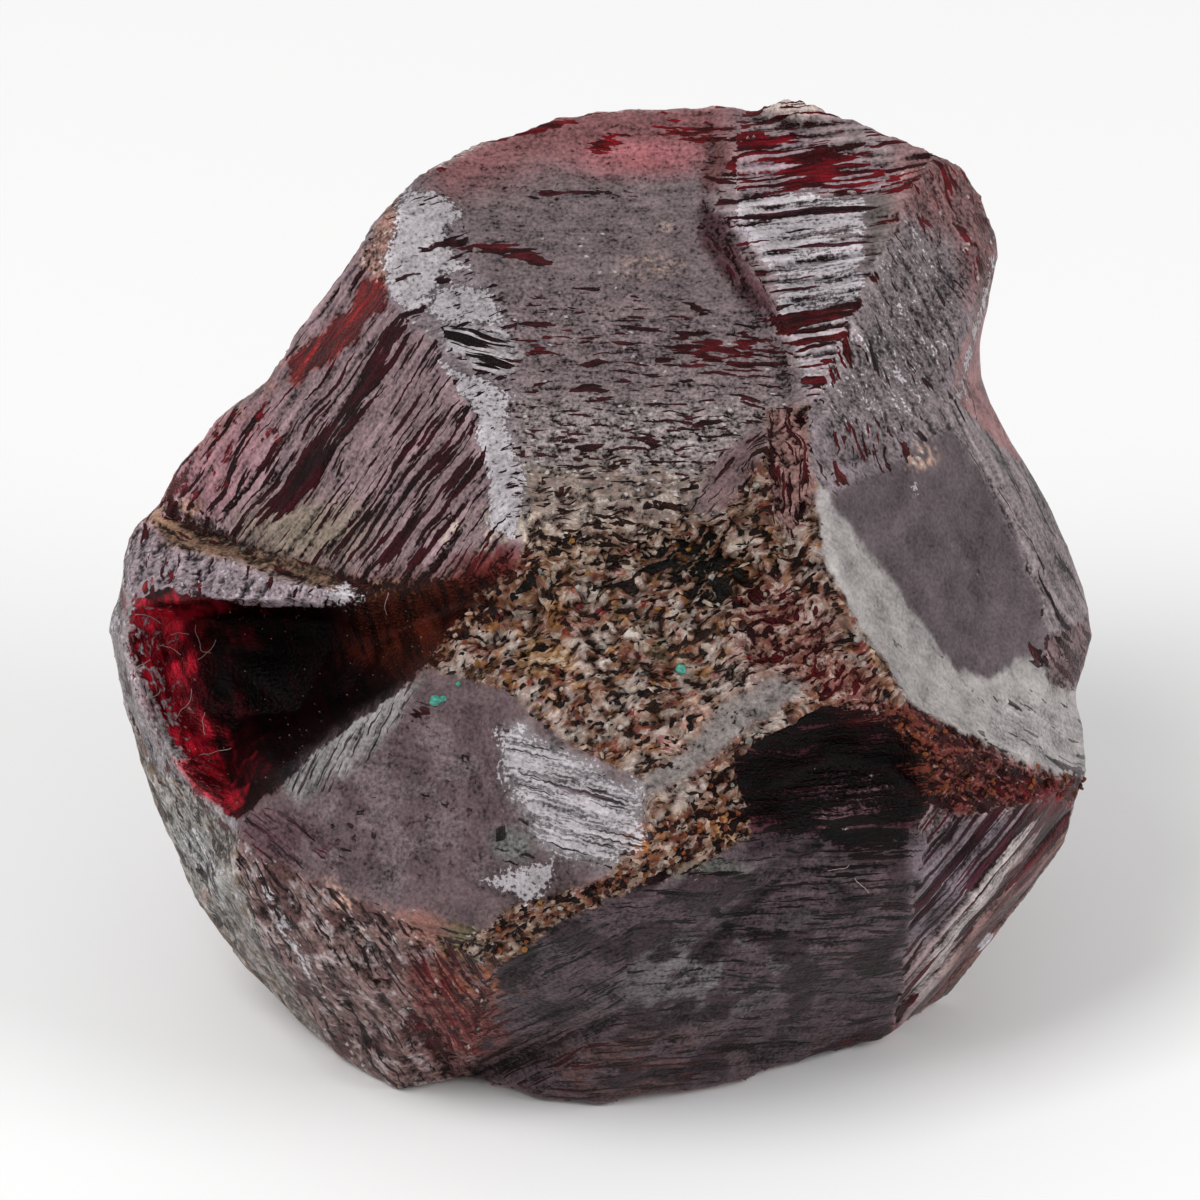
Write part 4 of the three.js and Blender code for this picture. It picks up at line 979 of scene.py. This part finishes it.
# Narrow and broad clefts follow the streaks. Where a face sets none, there are none.
some = add(tree, "ShaderNodeMapRange",
           {"Value": laid["cleft"], "From Min": 0.0, "From Max": 0.05}, EASED)
broad_share = add(tree, "ShaderNodeMath", {0: laid["cleft"], 1: laid["gape"]}, TIMES)
opened = []
for name, open_share, strength, softness in (("streaks", laid["cleft"], 0.44, 0.035),
                                             ("broad streaks", broad_share, 0.40, 0.02)):
    parted = add(tree, "ShaderNodeMapRange",
                 {"Value": layered((1.0, noises[name]), (strength, open_share)),
                  "From Min": -0.02, "From Max": softness}, EASED)
    opened.append(add(tree, "ShaderNodeMath", {0: parted, 1: some}, TIMES))
gaps = add(tree, "ShaderNodeMath", {0: opened[1], 1: opened[0]}, AT_LEAST)
gaps = add(tree, "ShaderNodeMath", {0: gaps, 1: -1.1}, TIMES)
slits = add(tree, "ShaderNodeMapRange",
            {"Value": fine_lines, "From Min": 0.58, "From Max": 0.68}, EASED)
slits = add(tree, "ShaderNodeMath", {0: slits, 1: laid["combed"]}, TIMES)
slits = add(tree, "ShaderNodeMath", {0: slits, 1: -0.45}, TIMES)

# Skin wherever the stone is worn, and clean garnet in the clefts.
worn = layered(laid["cover"], (2.2, pattern), (0.7, laid["wear"]), (0.8, specks), gaps, slits)
skin_share = add(tree, "ShaderNodeMapRange",
                 {"Value": worn, "From Min": 0.14, "From Max": 0.46}, EASED)

# The skin is mottled, paler where it is rubbed and darker in the hollows, as painted shade.
unevenness = layered((2.6, pattern), (2.2, specks), (2.0, laid["wear"]))
unevenness = add(tree, "ShaderNodeMath", {0: unevenness, 1: laid["mottle"]}, TIMES)
mottle = layered(0.80, unevenness, (1.1, blotches), (0.6, clouds))
mottle = add(tree, "ShaderNodeMath", {0: mottle, 1: 0.15}, AT_LEAST)
grey = add(tree, "ShaderNodeCombineColor", {0: mottle, 1: mottle, 2: mottle})

# Where the pit broke into the rock round the stone, its minerals lie in ragged patches drawn
# out the way it breaks: dark in the cracks, partly as painted shade, through brown and beige to
# grey on what stands up, with red and rusty patches among them.
rock_tone = layered(0.58, (1.2, rock["Red"]), (0.55, flake["Red"]), (0.4, chip_tone),
                    (0.45, laid["wear"]))
rock_ramp = add(tree, "ShaderNodeValToRGB", {0: rock_tone})
ROCK_TONES = ((0.0, "#140a07"), (0.20, "#321a12"), (0.34, "#603828"), (0.48, "#886250"),
              (0.62, "#a08272"), (0.80, "#b09c90"), (1.0, "#c8bcb4"))
stops = rock_ramp.node.color_ramp.elements
for number, (position, tone) in enumerate(ROCK_TONES):
    stop = stops[number] if number < 2 else stops.new(position)
    stop.position, stop.color = position, (*linear(tone), 1)
rocky = rock_ramp
for channel, start, end, tone, strength in (("Green", 0.55, 0.58, "#5c1414", 0.85),
                                            ("Blue", 0.56, 0.60, "#704a20", 0.6)):
    patch = add(tree, "ShaderNodeMapRange",
                {"Value": layered(rock[channel], (0.16, flake[channel])),
                 "From Min": start, "From Max": end}, EASED)
    patch = add(tree, "ShaderNodeMath", {0: patch, 1: strength}, TIMES)
    rocky = add(tree, "ShaderNodeMix", {0: patch, 6: rocky, 7: (*linear(tone), 1)}, LAID_OVER, 2)
rocky = add(tree, "ShaderNodeMix", {0: 0.58, 6: rocky, 7: skin}, LAID_OVER, 2)
rocky = add(tree, "ShaderNodeMix", {0: 0.5, 6: rocky, 7: grey}, TINTED, 2)
rock_share = add(tree, "ShaderNodeMapRange",
                 {"Value": layered(laid["grain"], (1.5, specks)),
                  "From Min": 0.35, "From Max": 0.55}, EASED)

# Pale chips, as many as fleck says; on the rough faces they also stand for painted glints.
shard_pick = add(tree, "ShaderNodeSeparateColor", {0: pieces["shards"]})
shard_pick = add(tree, "ShaderNodeMath", {0: shard_pick, 1: -1.0}, TIMES)
shard_size = add(tree, "ShaderNodeMapRange",
                 {"Value": pieces["shards"].node.outputs["Distance"],
                  "From Min": 0.50, "From Max": 0.30})
half_fleck = add(tree, "ShaderNodeMath", {0: laid["fleck"], 1: 0.5}, TIMES)
chips = add(tree, "ShaderNodeMapRange",
            {"Value": layered(half_fleck, shard_pick), "From Min": 0.0, "From Max": 0.04}, EASED)
chips = add(tree, "ShaderNodeMath", {0: chips, 1: shard_size}, TIMES)
chips = add(tree, "ShaderNodeMath", {0: chips, 1: 0.8}, TIMES)

# Pale patches, nearly white and solid: crushed skin in places, and painted highlights on the
# bevel, the left rim, the stepped face and the lower left face.
pale_patch_share = add(tree, "ShaderNodeMapRange",
              {"Value": layered(laid["crust"], (3.0, pattern), (1.2, specks)),
               "From Min": 0.42, "From Max": 0.62}, EASED)
pale_patch_on = add(tree, "ShaderNodeMapRange",
              {"Value": laid["crust"], "From Min": 0.0, "From Max": 0.25}, EASED)
pale_patch_share = add(tree, "ShaderNodeMath", {0: pale_patch_share, 1: pale_patch_on}, TIMES)
pale_patch_colour = add(tree, "ShaderNodeMix", {0: 0.75, 6: (*linear("#b0a9ad"), 1), 7: grey}, TINTED, 2)

# The skin's colour, layer by layer: what is laid on, how much of it and how.
skinned = skin
for above, share_above, how in ((grey, 1.0, TINTED), (rocky, rock_share, LAID_OVER),
                                ((*linear("#c8c0c0"), 1), chips, LAID_OVER),
                                (pale_patch_colour, pale_patch_share, LAID_OVER)):
    skinned = add(tree, "ShaderNodeMix", {0: share_above, 6: skinned, 7: above}, how, 2)
# The glass is painted lighter along the lines and in blotches: a painted glow of light through it.
glow = layered(0.70, (3.0, wide_lines), (3.0, fine_lines), (2.0, blotches))
glow = add(tree, "ShaderNodeMath", {0: glow, 1: 0.25}, AT_LEAST)
glow = add(tree, "ShaderNodeCombineColor", {0: glow, 1: glow, 2: glow})
glass = add(tree, "ShaderNodeMix", {0: 1.0, 6: deep, 7: glow}, TINTED, 2)
colour = add(tree, "ShaderNodeMix", {0: skin_share, 6: glass, 7: skinned}, LAID_OVER, 2)
roughness = add(tree, "ShaderNodeMix", {0: skin_share, 2: 0.20, 3: 0.48})
bare = add(tree, "ShaderNodeMath", {0: 1.0, 1: skin_share}, {"operation": "SUBTRACT"})
through = add(tree, "ShaderNodeMath", {0: laid["window"], 1: bare}, TIMES)

# The finest relief is only shaded: skin, pale patches and rock stand up from the glass.
heights = []
for above, how_high in ((skin_share, 0.5), (pale_patch_share, 0.4),
                        (rock_share, layered((1.2, rock["Red"]), (0.5, flake["Red"])))):
    heights.append(add(tree, "ShaderNodeMath", {0: above, 1: how_high}, TIMES))
height = layered((0.8, pattern), (0.7, specks), *heights)
bump = add(tree, "ShaderNodeBump", {"Strength": 1.0, "Distance": 0.06 * MM, "Height": height})
surface = add(tree, "ShaderNodeBsdfPrincipled", {
    "Base Color": colour, "Roughness": roughness, "IOR": 1.78, "Specular IOR Level": 0.05,
    "Transmission Weight": through, "Normal": bump,
})
absorption = add(tree, "ShaderNodeVolumeAbsorption",
                 {"Color": (0.86, 0.06, 0.1, 1), "Density": 1200})
add(tree, "ShaderNodeOutputMaterial", {"Surface": surface, "Volume": absorption}, out=None)
crystal.data.materials.clear()
crystal.data.materials.append(garnet)
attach(crystal, "root")
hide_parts("garnet_crystal")


# ---------------------------------------------------------------------------- the pit's grains
# The pit broke down to the schist that the stone grew in. Loose-looking grains of quartz,
# feldspar, mica and garnet still hold fast in it, each half sunk, with rusty crumbs between.
# The same crumbs fill the worn seam below it. They are scattered over the bed of the pit.


def bed_of(name, chosen):
    """The part of the crystal's skin where the chosen points are, as a mesh of its own."""
    kept = triangles[chosen[triangles].all(1)]
    used, renumbered = np.unique(kept, return_inverse=True)
    mesh = bpy.data.meshes.new(name)
    mesh.from_pydata(settled[used].tolist(), [], renumbered.reshape(-1, 3).tolist())
    return mesh


scatter = bpy.data.node_groups.new("scattered grains", "GeometryNodeTree")
scatter_inputs = {}
for name, kind in (("Bed", "Geometry"), ("Grains per square metre", "Float"),
                   ("Smallest", "Vector"), ("Largest", "Vector"), ("Seed", "Int"),
                   ("Finish", "Material")):
    scatter_inputs[name] = scatter.interface.new_socket(
        name, in_out="INPUT", socket_type="NodeSocket" + kind).identifier
scatter.interface.new_socket("Grains", in_out="OUTPUT", socket_type="NodeSocketGeometry")
given = add(scatter, "NodeGroupInput").node.outputs
spread = add(scatter, "GeometryNodeDistributePointsOnFaces",
             {"Mesh": given["Bed"], "Density": given["Grains per square metre"],
              "Seed": given["Seed"]}).node.outputs
tone = add(scatter, "FunctionNodeRandomValue", {"Seed": given["Seed"]},
           {"data_type": "FLOAT"}, 1)
toned = add(scatter, "GeometryNodeStoreNamedAttribute",
            {"Geometry": spread["Points"], "Name": "tone", "Value": tone},
            {"data_type": "FLOAT", "domain": "POINT"})
# A splinter: five sides between a broad foot and a smaller top. It is coarser than real grit,
# whose smallest grains would be too fine to tell apart.
splinter = add(scatter, "GeometryNodeMeshCone",
               {"Vertices": 5, "Radius Top": 0.6, "Radius Bottom": 1.0, "Depth": 1.6})
tilt = add(scatter, "FunctionNodeRandomValue",
           {0: (-0.7, -0.7, -3.14), 1: (0.7, 0.7, 3.14), "Seed": given["Seed"]},
           {"data_type": "FLOAT_VECTOR"})
turn = add(scatter, "FunctionNodeRotateRotation",
           {"Rotation": spread["Rotation"], "Rotate By": tilt}, {"rotation_space": "LOCAL"})
size = add(scatter, "FunctionNodeRandomValue",
           {0: given["Smallest"], 1: given["Largest"], "Seed": given["Seed"]},
           {"data_type": "FLOAT_VECTOR"})
placed = add(scatter, "GeometryNodeInstanceOnPoints",
             {"Points": toned, "Instance": splinter, "Rotation": turn, "Scale": size})
solid = add(scatter, "GeometryNodeRealizeInstances", {"Geometry": placed})
finished = add(scatter, "GeometryNodeSetMaterial",
               {"Geometry": solid, "Material": given["Finish"]})
add(scatter, "NodeGroupOutput", {"Grains": finished}, out=None)


def scattered(name, bed, per_square_mm, smallest, largest, seed, finish):
    """A piece of grains of one kind on a bed, their half sizes in mm."""
    piece = linked(name + "_bed", bed)
    grains = piece.modifiers.new("grains", "NODES")
    grains.node_group = scatter
    for key, value in (("Grains per square metre", per_square_mm / MM**2),
                       ("Smallest", [side * MM for side in smallest]),
                       ("Largest", [side * MM for side in largest]), ("Seed", seed),
                       ("Finish", finish)):
        grains[scatter_inputs[key]] = value
    mesh = as_plain_mesh(piece)
    mesh.vertices.foreach_set("co", points_of(mesh).clip(np.array(low), np.array(high)).ravel())
    mesh.name = name
    mesh.materials.clear()
    mesh.materials.append(finish)
    return linked(name, mesh)


def mineral(name, dark, light, roughness, blotch_mm, gloss=0.3):
    """A finish for grains: each its own tone between two colours, with finer blotches, so that
    a bed of them looks like loose broken rock and not like one surface."""
    finish = bpy.data.materials.new(name)
    finish.use_nodes = True
    tree = finish.node_tree
    tree.nodes.clear()
    tone = add(tree, "ShaderNodeAttribute", settings={"attribute_name": "tone"}, out="Fac")
    place = add(tree, "ShaderNodeTexCoord", out="Object")
    blotch = add(tree, "ShaderNodeTexNoise",
                 {"Vector": place, "Scale": 1 / (blotch_mm * MM), "Detail": 2})
    level = add(tree, "ShaderNodeMath", {0: blotch, 1: 1.6, 2: -0.8},
                {"operation": "MULTIPLY_ADD"})
    level = add(tree, "ShaderNodeMath", {0: level, 1: tone}, {"use_clamp": True})
    shade = add(tree, "ShaderNodeMix",
                {0: level, 6: (*linear(dark), 1), 7: (*linear(light), 1)},
                {"data_type": "RGBA"}, 2)
    bump = add(tree, "ShaderNodeBump", {"Strength": 0.6, "Distance": 0.02 * MM, "Height": blotch})
    surface = add(tree, "ShaderNodeBsdfPrincipled",
                  {"Base Color": shade, "Roughness": roughness, "IOR": 1.55,
                   "Specular IOR Level": gloss, "Normal": bump})
    add(tree, "ShaderNodeOutputMaterial", {"Surface": surface}, out=None)
    return finish


ROCK_BARE = 0.6  # grain above this is bare rock
PALE_LIMIT = 0.2  # and crust above this is pale skin, not rock
BLOTCH = 0.06  # mm
stony = seen & (at_point["grain"] > ROCK_BARE) & (at_point["crust"] < PALE_LIMIT)
in_seam = np.isin(face_of, [list(FACES).index(name) for name in ("worn seam", "stained shelf")])
# name: the share of the pit it gathers in, how many to the square mm there, smallest and
# largest half sizes in mm, dark and light colours, roughness.
MINERALS = {
    "schist_flakes": (0.5, 3, (0.06, 0.03, 0.012), (0.18, 0.09, 0.03), "#6e5c50", "#a89888", 0.5),
    "feldspar_flakes": (0.4, 3, (0.06, 0.03, 0.015), (0.14, 0.08, 0.04), "#86685a", "#b89884", 0.5),
    "quartz_grains": (0.3, 2, (0.05, 0.04, 0.03), (0.12, 0.09, 0.06), "#68645e", "#a09a92", 0.3),
    "biotite_flakes": (0.4, 3, (0.05, 0.03, 0.012), (0.15, 0.09, 0.03), "#0e0a08", "#3a2618", 0.4),
    "garnet_chips": (0.3, 2, (0.05, 0.03, 0.02), (0.13, 0.07, 0.04), "#300608", "#6a181a", 0.4),
    "ochre_crumbs": (0.2, 3, (0.03, 0.03, 0.02), (0.10, 0.07, 0.05), "#5c3c16", "#94682e", 0.8),
}
for number, (name, values) in enumerate(MINERALS.items()):
    gathered, per_square_mm, smallest, largest, dark, light, roughness = values
    finish = mineral(name.replace("_", " "), dark, light, roughness, BLOTCH)
    cloud = fractal(points / 0.8, 400 + number)
    bed = stony & (cloud > np.quantile(cloud[stony], 1 - gathered))
    piece = scattered(name, bed_of(name, bed), per_square_mm, smallest, largest,
                      101 + number, finish)
    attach(piece, "root")


# ---------------------------------------------------------------------------- the rust
# Iron from the garnet has weathered to rust along the seam and the shelf: a dull crust of
# small orange and brown crumbs, thickest where the stone is most broken.

rust = mineral("crumbly iron rust", "#34120a", "#80421c", 0.9, 0.05)
rust_crumbs = scattered("rust_crumbs", bed_of("rust", seen & in_seam), 9,
                        (0.03, 0.03, 0.02), (0.09, 0.08, 0.05), 111, rust)
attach(rust_crumbs, "root")


# ---------------------------------------------------------------------------- green grains
# A few specks of a bright green mineral, a copper or chrome one, stuck in the pit and its rim.

SKY = 30  # mm over the front, from where things are dropped onto it
# Each grain: where it is, right and up, and its radius, in mm.
GREEN_GRAINS = ((-3.26, -2.0, 0.12), (1.6, -1.38, 0.11), (-2.8, -1.66, 0.05), (-3.1, -1.95, 0.07))
green = mineral("bright green mineral", "#3a8a78", "#84d6c4", 0.4, 0.05)
front_surface = BVHTree.FromPolygons(
    [to_front @ Vector(place) for place in settled], triangles.tolist())
grain_mesh = bmesh.new()
for number, (right, up, radius) in enumerate(GREEN_GRAINS):
    spot = front_surface.ray_cast(Vector((right, up, SKY)), Vector((0, 0, -1)))[0]
    grain = bmesh.ops.create_icosphere(grain_mesh, subdivisions=2, radius=radius)["verts"]
    for vert in grain:
        uneven = noise(np.array([vert.co / radius * 1.3 + Vector((number * 9.0, 0, 0))]), 121)
        vert.co = spot + vert.co * (1 + 0.4 * float(uneven[0]))
grain_mesh.transform(from_front)
green_mesh = bpy.data.meshes.new("green_grains")
grain_mesh.to_mesh(green_mesh)
grain_mesh.free()
green_mesh.materials.append(green)
green_grains = linked("green_grains", green_mesh)
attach(green_grains, "root")


# ---------------------------------------------------------------------------- dust and lint
# Pale dust has settled on the stone, thickest in the scoop, and a few fibres of lint cling
# to the broken edges.

dust = mineral("pale dust", "#5a3828", "#b0a094", 0.9, 0.04)
dusty = seen & (face_of == list(FACES).index("scoop"))
scoop_dust = scattered("scoop_dust", bed_of("dust", dusty), 2.2, (0.006, 0.006, 0.004),
                       (0.020, 0.015, 0.008), 131, dust)
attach(scoop_dust, "root")
thin_dust = scattered("thin_dust", bed_of("thin dust", seen), 0.05, (0.008, 0.008, 0.005),
                      (0.022, 0.018, 0.008), 132, dust)
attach(thin_dust, "root")

# Each fibre: where it starts, right and up in mm, and how long it is.
FIBRES = (
    (-8.1, -0.5, 0.8), (-7.7, -0.8, 0.6), (-8.4, -1.1, 0.5), (-8.6, -0.7, 0.4), (-8.5, -2.4, 0.8),
    (-8.0, -3.1, 0.7), (-7.9, -2.7, 0.5), (-8.8, -1.8, 0.6), (4.94, -5.24, 0.5),
    (5.05, -5.5, 0.45), (-9.3, -0.3, 0.6), (-6.6, 0.0, 0.4), (-4.2, 0.15, 0.5), (-9.0, -1.2, 0.4),
)
FIBRE_RADIUS = 0.006  # mm
FIBRE_POINTS = 14
curls = np.random.default_rng(141)
curve = bpy.data.curves.new("lint", "CURVE")
curve.dimensions = "3D"
curve.bevel_depth = FIBRE_RADIUS * MM
curve.bevel_resolution = 1
for right, up, length in FIBRES:
    spline = curve.splines.new("POLY")
    spline.points.add(FIBRE_POINTS - 1)
    heading, curl = curls.uniform(0, 2 * math.pi), curls.normal(0, 1.5)
    for point in spline.points:
        found = front_surface.ray_cast(Vector((right, up, SKY)), Vector((0, 0, -1)))[0]
        lifted = found + Vector((0, 0, 0.02 + curls.uniform(0, 0.02)))
        point.co = (*(from_front @ lifted), 1)
        heading += (curl + curls.normal(0, 5)) * length / FIBRE_POINTS
        right += length / FIBRE_POINTS * math.cos(heading)
        up += length / FIBRE_POINTS * math.sin(heading)
lint_mesh = as_plain_mesh(linked("lint_curve", curve))
lint_mesh.name = "lint"
lint_mesh.materials.clear()
lint_mesh.materials.append(mineral("pale cotton lint", "#b09490", "#e0d4ce", 0.9, 0.2))
lint = linked("lint", lint_mesh)
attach(lint, "root")


# ---------------------------------------------------------------------------- the studio
# A plain pale floor, large soft lights to the upper left and right, and a long lens square
# to the stone's front.
FLOOR_SIZE = 4.0  # m
floor_mesh = bpy.data.meshes.new("floor")
half = FLOOR_SIZE / 2
floor_mesh.from_pydata([(-half, -half, 0), (half, -half, 0), (half, half, 0), (-half, half, 0)],
                       [], [(0, 1, 2, 3)])
floor = linked("floor", floor_mesh)
floor.location.z = low.z - 0.0001 * MM
paper = bpy.data.materials.new("matt white paper")
paper.use_nodes = True
paper.node_tree.nodes["Principled BSDF"].inputs["Base Color"].default_value = (
    *linear("#fdfdfd"), 1)
paper.node_tree.nodes["Principled BSDF"].inputs["Roughness"].default_value = 0.9
floor.data.materials.append(paper)

world = bpy.data.worlds.new("pale room")
world.use_nodes = True
world.node_tree.nodes["Background"].inputs["Color"].default_value = (1, 1, 1, 1)
world.node_tree.nodes["Background"].inputs["Strength"].default_value = 0.50
bpy.context.scene.world = world


def soft_light(name, azimuth, elevation, distance, size, power):
    """A square soft light aimed at the stone, in degrees, metres and watts. Azimuth 0 is in
    front, and 90 is to the right."""
    light = bpy.data.lights.new(name, "AREA")
    light.size = size
    light.energy = power
    lamp = linked(name, light)
    a, e = math.radians(azimuth), math.radians(elevation)
    way = Vector((math.sin(a) * math.cos(e), -math.cos(a) * math.cos(e), math.sin(e)))
    lamp.location = front_middle + way * distance
    lamp.rotation_euler = way.to_track_quat("Z", "Y").to_euler()
    lamp.visible_camera = False


soft_light("key", azimuth=-50, elevation=55, distance=0.30, size=0.14, power=0.46)
soft_light("fill", azimuth=65, elevation=35, distance=0.30, size=0.14, power=0.26)

CAMERA_DISTANCE = 0.4  # m
FRAME_WIDTH = 24.0  # mm of the front's plane across the view
SENSOR_WIDTH = 36  # mm
camera_data = bpy.data.cameras.new("camera")
camera_data.sensor_width = SENSOR_WIDTH
camera_data.lens = SENSOR_WIDTH * CAMERA_DISTANCE / (FRAME_WIDTH * MM)
camera_data.clip_start = 0.01
camera = linked("camera", camera_data)
near = Vector((0, -math.cos(LEAN), math.sin(LEAN)))
camera.location = front_middle + near * CAMERA_DISTANCE
camera.rotation_euler = near.to_track_quat("Z", "Y").to_euler()
bpy.context.scene.camera = camera
bpy.context.scene.view_settings.view_transform = "Standard"
